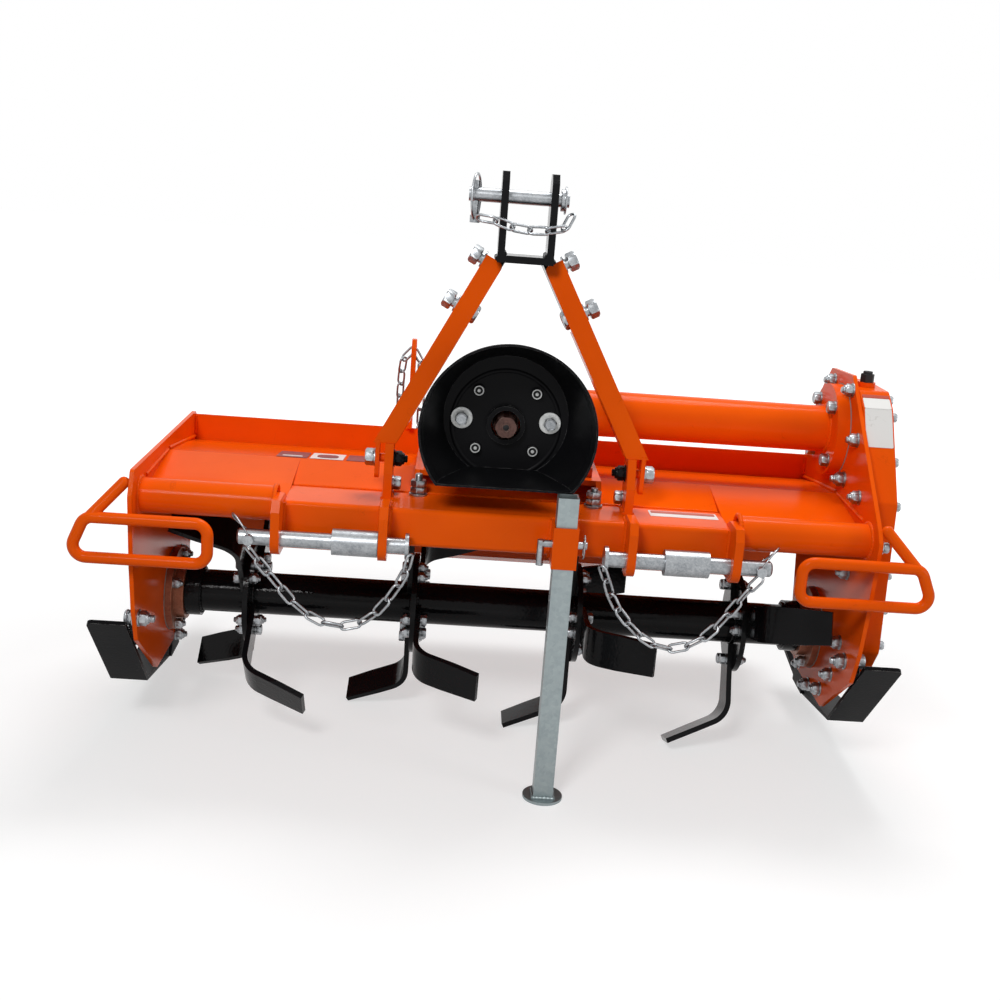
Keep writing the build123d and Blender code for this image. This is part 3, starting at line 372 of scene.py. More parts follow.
zinc_plate = metal("zinc_plate", (0.43, 0.445, 0.46), (0.20, 0.215, 0.23),
                   (0.42, 0.26), 520.0, 0.0001)
bright_zinc = metal("bright_zinc", (0.82, 0.83, 0.82), (0.60, 0.61, 0.60),
                    (0.46, 0.32), 520.0, 0.0001, 0.35)
galvanised = metal("galvanised_tube", (0.315, 0.36, 0.365), (0.25, 0.29, 0.30),
                   (0.52, 0.38), 190.0, 0.00008)
bearing_brown = metal("copper_brown_housing", (0.36, 0.135, 0.07), (0.20, 0.065, 0.035),
                      (0.5, 0.34), 300.0, 0.0002, 0.55, (0.55, 0.30, 0.2))
oiled_steel = metal("oiled_spline_steel", (0.11, 0.055, 0.045), (0.045, 0.024, 0.02),
                    (0.46, 0.3), 400.0, 0.0002, 0.7, (0.35, 0.25, 0.2))
metals = [zinc_plate, bright_zinc, galvanised, bearing_brown, oiled_steel]
print("metals:", [m.name for m in metals])

# %% [markdown]
# ## Moulded plastic
# The breather cap on the gear case is moulded black plastic: matt, with a fine
# spark-eroded grain.

# %% Black plastic
# The same black also serves as the painted shade in the shaft's centre hole.
black_plastic_and_painted_hole_shade = paint("black_plastic_and_painted_hole_shade", (0.012, 0.012, 0.013), (0.016, 0.016, 0.017), (0.03, 0.03, 0.03),
                      (0.5, 0.62), 0.00008, 700.0, rub=0.2)
print(black_plastic_and_painted_hole_shade.name)

# %% [markdown]
# ## Give the CAD parts their finishes
# Each CAD part already carries a plain slot that says which finish it belongs
# to. Only the material in the slot changes, and the mesh stays as it is.

# %% Finish for each slot
finish_of = {
    "orange": orange_paint, "black": black_paint, "zinc": zinc_plate, "shield": shield_paint,
    "plug": black_plastic_and_painted_hole_shade, "steel": oiled_steel, "bearing": bearing_brown,
}
special = {
    "gearbox": cast_orange, "skid_left": skid_paint_worn_and_highlit, "skid_right": skid_paint_worn_and_highlit,
    "stand_leg": galvanised,
}
for name, node in nodes.items():
    for slot in node.material_slots:
        plain = slot.material.name.split(".")[0]
        slot.material = special.get(name, finish_of[plain])
print({name: node.material_slots[0].material.name for name, node in nodes.items()})

# %% [markdown]
# ## Turned shapes
# Nuts, bolts, washers and plugs are all turned or hexagonal bars. One helper
# makes them: it stacks rings along an axis, and a ring may be limited by a
# hexagon. Where a round limit and the hexagon meet, the corners come out
# chamfered exactly as on a real nut.

# %% Rings along an axis
def hexagon_reach(angle, half_flats):
    """Distance from the axis to the side of a hexagon in a direction."""
    return half_flats / math.cos((angle + math.pi / 6) % (math.pi / 3) - math.pi / 6)


def turned(bm, at, axis, rows, steps=36, slot=0):
    """Stacks rings (height, radius, half across flats or None) and caps both ends."""
    axis = Vector(axis).normalized()
    side = axis.orthogonal().normalized()
    other = axis.cross(side)
    rings = []
    for height, radius, half_flats in rows:
        ring = []
        for step in range(steps):
            angle = math.tau * step / steps
            reach = min(radius, hexagon_reach(angle, half_flats)) if half_flats else radius
            offset = side * math.cos(angle) + other * math.sin(angle)
            ring.append(bm.verts.new(at + axis * height + offset * reach))
        rings.append(ring)
    made = [bm.faces.new(list(reversed(rings[0]))), bm.faces.new(rings[-1])]
    for lower, upper in zip(rings, rings[1:]):
        for step in range(steps):
            after = (step + 1) % steps
            made.append(bm.faces.new((lower[step], lower[after], upper[after], upper[step])))
    for face in made:
        face.material_index = slot


print("a hexagon 10 across reaches", round(hexagon_reach(math.pi / 6, 5), 2), "at its corner")

# %% [markdown]
# ## From a drawn mesh to a piece
# Small parts of one kind are drawn into one mesh. It becomes an object with its
# finishes, rides on a body of the machine, and is smooth except along edges
# sharper than an angle.

# %% Make a piece
def piece(name, bm, finishes, body="frame", sharp=32):
    """Turns the drawn mesh into an object that rides on a body, if one is given."""
    mesh = bpy.data.meshes.new(name)
    bm.to_mesh(mesh)
    bm.free()
    mesh.polygons.foreach_set("use_smooth", [True] * len(mesh.polygons))
    mesh.set_sharp_from_angle(angle=math.radians(sharp))
    for finish in finishes:
        mesh.materials.append(finish)
    made = bpy.data.objects.new(name, mesh)
    bpy.context.scene.collection.objects.link(made)
    if body:
        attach(made, body)
    print(name, len(mesh.polygons), "faces")
    return made


# %% [markdown]
# ## Nuts and bolts
# Three kinds are enough for the machine: a lock nut with its collar and the
# bolt's end, a hexagon head, and a plain washer. Every size follows from half
# the width across flats, as in a bolt table.

# %% Lock nut, hexagon head, washer
def washer(bm, at, axis, radius, thick):
    """A flat ring's outside, with a small chamfer round its upper edge."""
    edge = min(thick * 0.3, 0.0003)
    turned(bm, at, axis, [(0, radius, None), (thick - edge, radius, None), (thick, radius - edge, None)])


def lock_nut(bm, at, axis, half_flats, stud=0.5, wide=1.28):
    """Washer, nut with a lock collar, and the end of the bolt."""
    h = half_flats
    axis = Vector(axis).normalized()
    washer(bm, at, axis, wide * h, 0.2 * h)
    rows = [(0.2, 1.0, 1), (0.34, 1.16, 1), (1.10, 1.16, 1), (1.25, 0.98, 1), (1.27, 0.9, None),
            (1.48, 0.86, None), (1.6, 0.74, None), (1.6, 0.66, None), (1.45, 0.62, None)]
    turned(bm, at, axis, [(a * h, r * h, f and h) for a, r, f in rows])
    rows = [(1.3 * h, 0.58 * h, None)]
    threads = 2 + int(stud * 4)
    for i in range(threads):
        rows.append(((1.45 + 0.14 * i) * h, (0.585 if i % 2 else 0.52) * h, None))
    rows.append(((1.5 + 0.14 * threads) * h, 0.45 * h, None))
    turned(bm, at, axis, rows, steps=24)


def hex_head(bm, at, axis, half_flats, wide=1.28, slot=0):
    """Washer and a hexagon head with a shallow dish on top."""
    h = half_flats
    if wide:
        washer(bm, at, axis, wide * h, 0.2 * h)
    rows = [(0.2, 1.0, 1), (0.32, 1.16, 1), (1.16, 1.16, 1), (1.34, 0.97, 1), (1.34, 0.88, None),
            (1.28, 0.8, None)]
    turned(bm, at, axis, [(a * h, r * h, f and h) for a, r, f in rows], slot=slot)


M8, M10, M12, M16 = 0.0065, 0.0085, 0.0095, 0.012
PLATE = 6
outer_face = plate_face + PLATE
print("half across flats", M8, M10, M12, M16, "outer faces at", round(outer_face, 1), "mm")

# %% [markdown]
# ## Bolts through the right side plate
# The gear case is bolted to the outside of the right plate. Its studs come
# through and carry lock nuts along the inside, following the case's outline,
# with two larger ones where the lower links of the frame are fixed.

# %% Nuts inside the right plate
case_nuts = [(291, 225), (194, 226), (138, 162), (94, 87), (96, -27), (85, -132), (106, -191),
             (208, -250), (148, -232)]
frame_nuts = [(176, 94), (52, -148)]
corner_bolt = (-7, 43)
corner_washer = 3
bm = bmesh.new()
for back, rise in case_nuts:
    lock_nut(bm, spot(plate_face, back, rise), (-1, 0, 0), M10)
lock_nut(bm, spot(plate_face, 271, -240), (-1, 0, 0), M8)
for back, rise in frame_nuts:
    lock_nut(bm, spot(plate_face, back, rise), (-1, 0, 0), M12, stud=0.8)
hex_head(bm, spot(outer_face, 25, -137), (1, 0, 0), M12)
washer(bm, spot(outer_face, *corner_bolt), (1, 0, 0), 0.0095, corner_washer / 1000)
hex_head(bm, spot(outer_face + corner_washer, *corner_bolt), (1, 0, 0), M8, wide=0)
piece("right_plate_nuts", bm, [zinc_plate])

# %% [markdown]
# ## Bolts on the left side plate
# The left plate carries the rotor's bearing and one large bolt at its front,
# with a spring clip on its outer end. Two smaller bolts sit further back.

# %% Nuts and bolts on the left plate
left_bolts = [(20, -135, M12, 1.0), (300, -120, M8, 0.5), (264, -250, M10, 0.5)]
bm = bmesh.new()
for back, rise, size, stud in left_bolts:
    lock_nut(bm, spot(-plate_face, back, rise), (1, 0, 0), size, stud=stud)
for back, rise, size, stud in left_bolts:
    hex_head(bm, spot(-outer_face, back, rise), (-1, 0, 0), size)
piece("left_plate_bolts", bm, [zinc_plate])

# %% [markdown]
# ## Bearing and flange bolts
# A flange is held by bolts on a circle. The helper places any number of them
# round an axis along the machine's width.

# %% Bolts on a circle
def circle_of(centre, across, radius, count, first=45):
    """Points on a circle round a line along the width."""
    for i in range(count):
        angle = math.radians(first + 360 / count * i)
        yield Vector((across / 1000, centre.y + radius * math.cos(angle),
                      centre.z + radius * math.sin(angle)))


drive_axis = middle_of("drive_tube")
bearing_flange, drive_flange = plate_face - 11, plate_face - 20
bearing_circle, drive_circle = 0.0552, 0.057
bearing_bolt, first_bolt = M8 * 1.1, 63
bm = bmesh.new()
for side in (-1, 1):
    for point in circle_of(rotor_axis, side * bearing_flange, bearing_circle, 4, first=first_bolt):
        lock_nut(bm, point, (-side, 0, 0), bearing_bolt, wide=1.1)
for point in circle_of(rotor_axis, -outer_face, bearing_circle, 4, first=first_bolt):
    hex_head(bm, point, (-1, 0, 0), bearing_bolt)
for point in circle_of(drive_axis, drive_flange, drive_circle, 4):
    hex_head(bm, point, (-1, 0, 0), M10, wide=1.2)
piece("flange_bolts", bm, [zinc_plate])
print("drive axis", tuple(round(v, 4) for v in drive_axis))

# %% [markdown]
# ## Paper gaskets
# A grey paper gasket shows as a thin line round the drive flange and the
# bearings, where they meet the plates.

# %% Gasket rings and their paper
gasket_paper = paint("gasket_paper", (0.42, 0.40, 0.36), (0.30, 0.29, 0.27), (0.2, 0.19, 0.18),
                     (0.75, 0.9), 0.0001, 900.0)
drive_gasket, bearing_gasket, gasket_thick, gasket_back = 0.0712, 0.0652, 0.0011, 1.2
bm = bmesh.new()
for centre, radius, side in ((drive_axis, drive_gasket, 1), (rotor_axis, bearing_gasket, 1),
                             (rotor_axis, bearing_gasket, -1)):
    at = Vector((side * (plate_face - gasket_back) / 1000, centre.y, centre.z))
    turned(bm, at, (side, 0, 0), [(0, radius, None), (gasket_thick, radius, None)], steps=72)
piece("gaskets", bm, [gasket_paper])

# %% [markdown]
# ## Inside the shaft shield
# The round shield is bolted to the gearbox's front by two large bolts on wide
# washers, and four lock nuts with dark inserts hold the bearing cap behind it.
# A shallow pressed ring stiffens the sheet, and the shaft's end has the centre
# hole that it was turned on, drawn as a thin black disc that is painted shade.

# %% Bolts inside the shield
shield_face = 0.115
bolt_height = shaft_axis.z + 0.0055
cap_across, cap_rise, large_across = 0.041, 0.0415, 0.063
wide_washer, wide_thick = 0.0155, 0.003
h = M8 * 1.12
nut_rows = [(0, 1.0, 1), (0.14, 1.16, 1), (0.8, 1.16, 1), (1.12, 0.98, 1)]
ring_rows = [(1.1, 0.98, None), (1.24, 0.96, None), (1.24, 0.78, None), (1.1, 0.74, None)]
insert_rows = [(1.0, 0.74, None), (1.2, 0.72, None), (1.2, 0.4, None), (1.1, 0.38, None)]
end_rows = [(1.0, 0.34, None), (1.3, 0.34, None), (1.38, 0.26, None)]
bm = bmesh.new()
for across in (-1, 1):
    for rise in (-1, 1):
        at = Vector((shaft_axis.x + across * cap_across, shield_face, bolt_height + rise * cap_rise))
        for rows, slot in ((nut_rows, 1), (ring_rows, 0), (insert_rows, 1), (end_rows, 0)):
            turned(bm, at, (0, -1, 0), [(a * h, r * h, f and h) for a, r, f in rows], slot=slot)
    at = Vector((shaft_axis.x + across * large_across, shield_face, bolt_height))
    washer(bm, at, (0, -1, 0), wide_washer, wide_thick)
    hex_head(bm, at + Vector((0, -wide_thick, 0)), (0, -1, 0), M10, wide=0, slot=2)
piece("shield_bolts", bm, [bright_zinc, black_plastic_and_painted_hole_shade, zinc_plate])

# %% Centre hole and pressed ring
bm = bmesh.new()
at = Vector((shaft_axis.x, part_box("input_shaft")[0][1], shaft_axis.z))
turned(bm, at, (0, -1, 0), [(0, 0.0064, None), (0.0003, 0.0060, None)])
# Painted shade: the dark of the centre hole is a black disc, not a recess.
turned(bm, at, (0, -1, 0), [(0.0003, 0.0044, None), (0.0004, 0.0042, None)], slot=1)
piece("shaft_centre_hole", bm, [oiled_steel, black_plastic_and_painted_hole_shade], body="input_shaft")

bm = bmesh.new()
at = Vector((shaft_axis.x, shield_face, shaft_axis.z))
rows = [(0, 0.0800, None), (0.0012, 0.0785, None), (0.0016, 0.0765, None), (0.0010, 0.0745, None),
        (0.0002, 0.0735, None)]
turned(bm, at, (0, -1, 0), rows, steps=96)
for face in [f for f in bm.faces if len(f.verts) > 4]:
    bm.faces.remove(face)
piece("shield_pressed_ring", bm, [shield_paint])

# %% [markdown]
# ## Mast bolts
# Each mast arm is a folded channel. Two bolts hold the clevis leg in it. Their
# heads stand on short necks outside the arm, at a right angle to it, and the
# lower one also has a nut on the inside.

# %% Bolts along the mast arms
upper_share, lower_share = 0.985, 0.735
outside, inside, arm_middle = 0.028, 0.0115, 0.016
neck_rows = [(0, 0.0125, None), (0.0024, 0.0125, None), (0.0026, 0.0078, None),
             (0.009, 0.0078, None)]
head_seat = 0.0045
bm = bmesh.new()
for side in (-1, 1):
    foot = spot(163 * side, 82, 124)
    head = spot(29 * side, 130, 376)
    along = (head - foot).normalized()
    outward = (Vector((side, 0, 0)) - along * along.x * side).normalized()
    behind = along.cross(outward) * side
    behind = behind if behind.y > 0 else -behind
    for share in (upper_share, lower_share):
        at = foot + (head - foot) * share + outward * outside + behind * arm_middle
        turned(bm, at, outward, neck_rows)
        hex_head(bm, at + outward * head_seat, outward, M16, wide=0)
    at = foot + (head - foot) * lower_share + outward * inside + behind * arm_middle
    hex_head(bm, at, -outward, M16, wide=0)
piece("mast_bolts", bm, [zinc_plate])

# %% [markdown]
# ## Mast feet and mount studs
# A bolt clamps each mast foot to its lug on the beam. Beside the gearbox,
# studs with two nuts each hold the mount down on the beam.

# %% A stud with two nuts
STUD_WASHER, STUD_WASHER_THICK = 0.0132, 0.0028
THREAD, THREAD_CREST, THREAD_ROOT = 0.0008, 0.0058, 0.0052


def stud_with_nuts(bm, at, tall):
    """Washer, two nuts and the threaded end above them."""
    up = Vector((0, 0, 1))
    washer(bm, at, up, STUD_WASHER, STUD_WASHER_THICK)
    h = M10 * 1.2
    rows = [(0, 0.98, 1), (0.12, 1.16, 1), (0.8, 1.16, 1), (0.92, 0.98, 1)]
    for start in (STUD_WASHER_THICK, STUD_WASHER_THICK + 0.96 * h):
        turned(bm, at, up, [(start + a * h, r * h, f and h) for a, r, f in rows])
    rows = []
    for i in range(int(tall / THREAD)):
        rows.append((0.004 + i * THREAD, THREAD_CREST if i % 2 else THREAD_ROOT, None))
    rows.append((0.0048 + tall, 0.0048, None))
    turned(bm, at, up, rows, steps=20)


print("stud thread", THREAD * 1000, "mm from crest to root")

# %% Lug bolts and mount studs
lug_y, lug_rise = 95, 100
bm = bmesh.new()
for side in (-1, 1):
    hex_head(bm, spot(191 * side, lug_y, lug_rise), (side, 0, 0), M12 * 1.13, wide=1.2)
    hex_head(bm, spot(165 * side, 104, 62), (-side, 0, 0), M10, wide=1.2)
stud_with_nuts(bm, spot(-128, 103, 47), 0.026)
stud_with_nuts(bm, spot(124, 101, 47), 0.022)
for across in (-112, 100):
    for back in (156, 302):
        stud_with_nuts(bm, spot(across, back, 94), 0.016)
piece("mount_bolts", bm, [zinc_plate])

bm = bmesh.new()
for side in (-1, 1):
    lock_nut(bm, spot(165 * side, lug_y, lug_rise), (-side, 0, 0), M12, stud=0.6)
piece("lug_nuts", bm, [black_paint])

# %% [markdown]
# ## Tine bolts
# Every blade is bolted to its flange by two bolts, so that a worn blade can be
# changed. The bolts turn with the rotor. The nuts stand on the flange's other
# face, and the heads on the blade.

# %% Two bolts for each tine
flange_places = (-381, -127, 127, 381)
first_turns = (-38, -19, 0, 19)
bolt_reach, bolt_offset = 0.059, 0.0125
blade_side, flange_side = 12, 4
tine_bolt = M8 * 1.12
bm = bmesh.new()
for across, turn in zip(flange_places, first_turns):
    for quarter in range(4):
        side = -1 if quarter % 2 == 0 else 1
        angle = math.radians(turn + 90 * quarter)
        down = Vector((0, -math.sin(angle), -math.cos(angle)))
        beside = Vector((0, -math.cos(angle), math.sin(angle)))
        for shift in (-bolt_offset, bolt_offset):
            at = rotor_axis + down * bolt_reach + beside * shift
            at.x = (across + side * blade_side) / 1000
            hex_head(bm, at, (side, 0, 0), tine_bolt, wide=1.15)
            at.x = (across - side * flange_side) / 1000
            lock_nut(bm, at, (-side, 0, 0), tine_bolt, wide=1.15)
piece("tine_bolts", bm, [zinc_plate], body="rotor")

# %% [markdown]
# ## Wire and weld beads
# Chain links, spring clips and weld beads are all a round section swept along a
# line. The helper carries a frame along the line without twisting it. A bead
# also swells and shrinks, which gives the ripples of a weld.

# %% A round section along a line
def sweep(bm, points, radius, closed=False, steps=8, ripple=0.0):
    """Sweeps a circle along points; ripple changes its size like weld ripples."""
    count = len(points)
    ahead = [points[(i + 1) % count] if closed or i < count - 1 else points[i] for i in range(count)]
    before = [points[i - 1] if closed or i > 0 else points[i] for i in range(count)]
    tangents = [(a - b).normalized() for a, b in zip(ahead, before)]
    side = tangents[0].orthogonal().normalized()
    rings = []
    for i, (point, tangent) in enumerate(zip(points, tangents)):
        side = (side - tangent * side.dot(tangent)).normalized()
        other = tangent.cross(side)
        uneven = math.sin(i * 1.9) + 0.8 * noise.noise(point * 260)
        size = radius * (1 + ripple * uneven)
        rings.append([bm.verts.new(point + (side * math.cos(math.tau * k / steps)
                                            + other * math.sin(math.tau * k / steps)) * size)
                      for k in range(steps)])
    pairs = list(zip(rings, rings[1:] + rings[:1])) if closed else list(zip(rings, rings[1:]))
    for lower, upper in pairs:
        for k in range(steps):
            after = (k + 1) % steps
            bm.faces.new((lower[k], lower[after], upper[after], upper[k]))
    if not closed:
        bm.faces.new(list(reversed(rings[0])))
        bm.faces.new(rings[-1])


trial = bmesh.new()
sweep(trial, [Vector((0, 0, 0)), Vector((0, 0, 0.01))], 0.002)
print("a straight swept wire has", len(trial.faces), "faces")
trial.free()

# %% A smooth line through a few points
SPAN_PARTS = 120


def smooth_line(points, step):
    """Points a step apart on a smooth line through the given ones."""
    dense = []
    last = len(points) - 1
    for i in range(last):
        a, b, c, d = points[max(i - 1, 0)], points[i], points[i + 1], points[min(i + 2, last)]
        for k in range(SPAN_PARTS):
            t = k / SPAN_PARTS
            dense.append(((b * 2) + (c - a) * t + (a * 2 - b * 5 + c * 4 - d) * t ** 2
                          + (b * 3 - a - c * 3 + d) * t ** 3) / 2)
    dense.append(points[-1])
    line, gone = [dense[0]], 0.0
    for a, b in zip(dense, dense[1:]):
        gone += (b - a).length
        if gone >= step:
            line.append(b)
            gone -= step
    return line


trial = smooth_line([Vector((0, 0, 0)), Vector((0.1, 0, 0))], 0.01)
print("a 0.1 m line in 0.01 m steps has", len(trial), "points")

# %% [markdown]
# ## Chain
# Short-link chain keeps the pins with the machine, and a longer one holds the
# tailboard up. Each link is a long ring of wire, and each is turned a quarter
# from the last. The links are placed one inner length apart along the line on
# which the chain hangs. The board's chain is drawn where it hangs and rides on
# no body.

# %% One link
LINK_LONG, LINK_WIDE, LINK_WIRE = 0.033, 0.0160, 0.0038
LINK_PITCH = LINK_LONG - 2 * LINK_WIRE


def link(bm, middle, along, wide):
    """One ring of wire with straight sides and round ends."""
    bend = (LINK_WIDE - LINK_WIRE) / 2
    straight = (LINK_LONG - LINK_WIRE) / 2 - bend
    points = []
    for end in (1, -1):
        for i in range(7):
            angle = math.pi * i / 6
            points.append(middle + along * end * (straight + bend * math.sin(angle))
                          + wide * end * bend * math.cos(angle))
    sweep(bm, points, LINK_WIRE / 2, closed=True)


print("a link moves the chain on by", round(LINK_PITCH * 1000, 1), "mm")

# %% Links along a line
def chain(bm, points):
    """Links along a smooth line through the points; returns their number."""
    line = smooth_line(points, 0.0008)
    length = sum((b - a).length for a, b in zip(line, line[1:]))
    count = round(length / LINK_PITCH)
    per_link = (len(line) - 1) / count
    for i in range(count):
        start = line[int(per_link * i)]
        stop = line[min(int(per_link * (i + 1)), len(line) - 1)]
        along = (stop - start).normalized()
        flat = along.cross(Vector((0, 1, 0)))
        flat = flat.normalized() if flat.length > 0.1 else along.orthogonal().normalized()
        out = along.cross(flat)
        roll = math.radians(45 + 90 * (i % 2) + 8 * math.sin(i * 2.3))
        link(bm, (start + stop) / 2, along, flat * math.cos(roll) + out * math.sin(roll))
    return count


# %% The chains on the pins and the loose end
left_chain = [(-351, -16, -10), (-345, -8, -22), (-319, -2, -55), (-288, 0, -92), (-264, 0, -110),
              (-240, 0, -120), (-214, 0, -121), (-189, 0, -112), (-170, 0, -93), (-153, 0, -69),
              (-137, -6, -37), (-131, -14, -8)]
right_chain = [(131, -14, -8), (141, -6, -32), (152, 0, -59), (172, 0, -87), (203, 0, -115),
               (235, 0, -126), (267, 0, -118), (293, 0, -98), (317, 0, -66), (338, -6, -30),
               (351, -16, -8)]
top_chain = [(-68, 104, 441), (-49, 98, 440), (-22, 96, 432), (10, 96, 429), (40, 98, 432),
             (58, 104, 439), (59, 112, 452)]
loose_end = [(-155, 404, 212), (-146, 404, 205), (-141, 404, 180), (-140, 404, 130), (-139, 404, 60)]
bm = bmesh.new()
for run in (left_chain, right_chain, top_chain, loose_end):
    print(chain(bm, [spot(*p) for p in run]), "links")
piece("chains", bm, [zinc_plate], sharp=60)

# %% The chain that holds the board
lug_hole, hook = (-157, 404, 211), (-166, 553, -151)
board_chain = [lug_hole, (-166, 405, 205), (-173, 414, 184), (-176, 447, 112), (-174, 479, 29),
               (-169, 527, -90), hook]
bm = bmesh.new()
print(chain(bm, [spot(*p) for p in board_chain]), "links hold the board")
held = piece("board_chain", bm, [zinc_plate], body=None, sharp=60)
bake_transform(held)

pin_radius, pin_long, head_start = 0.004, 0.012, 0.011
bm = bmesh.new()
for across, side in ((-160, -1), (168, 1)):
    at = spot(across, *hook[1:])
    turned(bm, at, (side, 0, 0), [(0, pin_radius, None), (pin_long, pin_radius, None)], steps=20)
    hex_head(bm, at + Vector((side * head_start, 0, 0)), (side, 0, 0), M8, wide=0)
piece("board_hook_bolts", bm, [zinc_plate], body="tailboard")

# %% [markdown]
# ## Linch pin rings and clips
# A sprung wire ring snaps over the end of each hitch pin and keeps its linch
# pin from falling out. The parking stand's pin and the left plate's large bolt
# each have a small clip, and a plain washer sits on the top pin.

# %% Wire rings and clips
bail = [(350, -17, 5), (357, -17, 18), (368, -9, 29), (375, 4, 30), (374, 16, 20), (362, 22, 7),
        (350, 21, 0)]
stand_clip = [(104, -11, 34), (104, -20, 30), (104, -21, 20), (104, -18, 8), (104, -11, 2),
              (104, -6, 8), (104, -8, 20), (104, -11, 30)]
bolt_clip = [(-517, 20, -125), (-519, 12, -122), (-520, 6, -132), (-520, 10, -146), (-519, 20, -150),
             (-518, 26, -142)]
pin_washer_rows = [(0, 0.0190, None), (0.0016, 0.0190, None), (0.002, 0.0185, None)]
bm = bmesh.new()
for side in (-1, 1):
    sweep(bm, smooth_line([spot(x * side, y, z) for x, y, z in bail], 0.0012), 0.0014)
top_ring = []
for i in range(48):
    angle = math.tau * i / 48
    across, upward = math.cos(angle), math.sin(angle)
    top_ring.append(spot(-73 + 6 * across, 126 + 24 * across, 468 + 31 * upward))
sweep(bm, top_ring, 0.0017, closed=True)
sweep(bm, smooth_line([spot(*p) for p in stand_clip], 0.001), 0.0012)
turned(bm, spot(49, 126, 471), (1, 0, 0), pin_washer_rows)
sweep(bm, smooth_line([spot(*p) for p in bolt_clip], 0.001), 0.0013)
piece("wire_rings_and_clips", bm, [zinc_plate], sharp=60)

# %% [markdown]
# ## Weld beads
# The frame is welded before it is painted, so the beads wear the frame's own
# colour. Each runs along the seam where two parts meet, as a rippled rope of
# metal half sunk into the corner.

# %% Straight and round seams
BEAD, BEAD_STEP, RIPPLE = 0.0032, 0.0016, 0.13


def seam(bm, start, stop, radius=BEAD):
    """A straight bead between two points in millimetres."""
    start, stop = spot(*start), spot(*stop)
    count = max(4, int((stop - start).length / BEAD_STEP))
    sweep(bm, [start.lerp(stop, i / count) for i in range(count + 1)], radius, ripple=RIPPLE, steps=7)


def round_seam(bm, centre, radius, bead=BEAD):
    """A bead round a tube that lies along the width."""
    count = int(math.tau * radius / BEAD_STEP)
    turns = [math.tau * i / count for i in range(count)]
    points = [centre + Vector((0, radius * math.cos(turn), radius * math.sin(turn))) for turn in turns]
    sweep(bm, points, bead, closed=True, ripple=RIPPLE, steps=7)


print("beads are", BEAD * 2000, "mm wide")

# %% Beads on the orange frame
plate_seam, rear_seam = 505, 504
tube_y, tube_z, tube_r = 0.030, pin_height + 0.041, 0.0245
beam_end, drive_bead = 0.3205, 0.0355
beam_front, beam_top = 20, 47
bm = bmesh.new()
for side in (-1, 1):
    for across in (plate_face / 1000, beam_end):
        round_seam(bm, Vector((side * across, tube_y, tube_z)), tube_r)
    for across in (163.5, 175.5, 308.5):
        seam(bm, (side * across, beam_front, -5), (side * across, beam_front, 46))
    for across in (163.5, 175.5):
        seam(bm, (side * across, beam_front, beam_top), (side * across, 48, beam_top))
    for across in (165, 177):
        seam(bm, (side * across, 68, beam_top), (side * across, 110, beam_top))
    seam(bm, (side * plate_seam, 60, 62), (side * plate_seam, 196, 67), 0.0028)
    seam(bm, (side * plate_seam, 204, 68), (side * plate_seam, 390, 46), 0.0028)
    seam(bm, (side * rear_seam, 394, 50), (side * rear_seam, 394, 80), 0.0028)
round_seam(bm, Vector((drive_flange / 1000, drive_axis.y, drive_axis.z)), drive_bead)
seam(bm, (-300, 114, beam_top), (300, 114, beam_top), 0.0022)
seam(bm, (59.7, 19, beam_top), (94.3, 19, beam_top))
for across in (59.7, 94.3):
    seam(bm, (across, beam_front, -9), (across, beam_front, 46))
seam(bm, (-160, 394, 80), (-160, 394, 110), 0.0026)
piece("orange_weld_beads", bm, [orange_paint], sharp=70)

# %% Beads on the rotor, the clevis and the stand
rotor_bead_at, rotor_end, flange_half = 0.0335, 0.457, 4.5
bm = bmesh.new()
for across in flange_places:
    for side in (-1, 1):
        at = Vector(((across + side * flange_half) / 1000, rotor_axis.y, rotor_axis.z))
        round_seam(bm, at, rotor_bead_at, 0.003)
for side in (-1, 1):
    round_seam(bm, Vector((side * rotor_end, rotor_axis.y, rotor_axis.z)), rotor_bead_at, 0.003)
piece("rotor_weld_beads", bm, [black_paint], body="rotor", sharp=70)

bm = bmesh.new()
for side in (-1, 1):
    for across, rise in ((29, 395), (39, 388)):
        seam(bm, (side * across, 104, rise), (side * across, 148, rise))
piece("clevis_weld_beads", bm, [black_paint], sharp=70)

foot_height = -pin_height * 1000 + 5
leg_corners = [(62.5, -25.8), (91.5, -25.8), (91.5, 3.2), (62.5, 3.2), (62.5, -25.8)]
bm = bmesh.new()
for (x0, y0), (x1, y1) in zip(leg_corners, leg_corners[1:]):
    seam(bm, (x0, y0, foot_height), (x1, y1, foot_height), 0.0026)
piece("stand_foot_weld", bm, [galvanised], sharp=70)

# %% [markdown]
# ## Covers on the gear case
# The gear case opens on its outer side. A ring of small bolts follows its
# outline, two round caps cover the shaft ends, and plugs on the case and the
# gearbox let oil in and out.

# %% Gear case bolts
case_outline = [(152, 208), (182, 229), (300, 229), (352, 190), (366, 80), (352, -150), (300, -222),
                (180, -232), (92, -186), (56, -134), (74, 85)]
case_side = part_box("gear_case")[1][0] * 1000
bolt_spacing, rim_inset = 62, 13
rim = [Vector(p) for p in case_outline]
centre = Vector((sum(y for y, z in case_outline), sum(z for y, z in case_outline))) / len(case_outline)
bolt_line = []
for a, b in zip(rim, rim[1:] + rim[:1]):
    steps = max(1, round((b - a).length / bolt_spacing))
    bolt_line += [a.lerp(b, i / steps) for i in range(steps)]
bm = bmesh.new()
for point in bolt_line:
    seat = point + (centre - point).normalized() * rim_inset
    hex_head(bm, spot(case_side, seat.x, seat.y), (1, 0, 0), M8 * 0.9, wide=1.2)
piece("gear_case_bolts", bm, [zinc_plate])

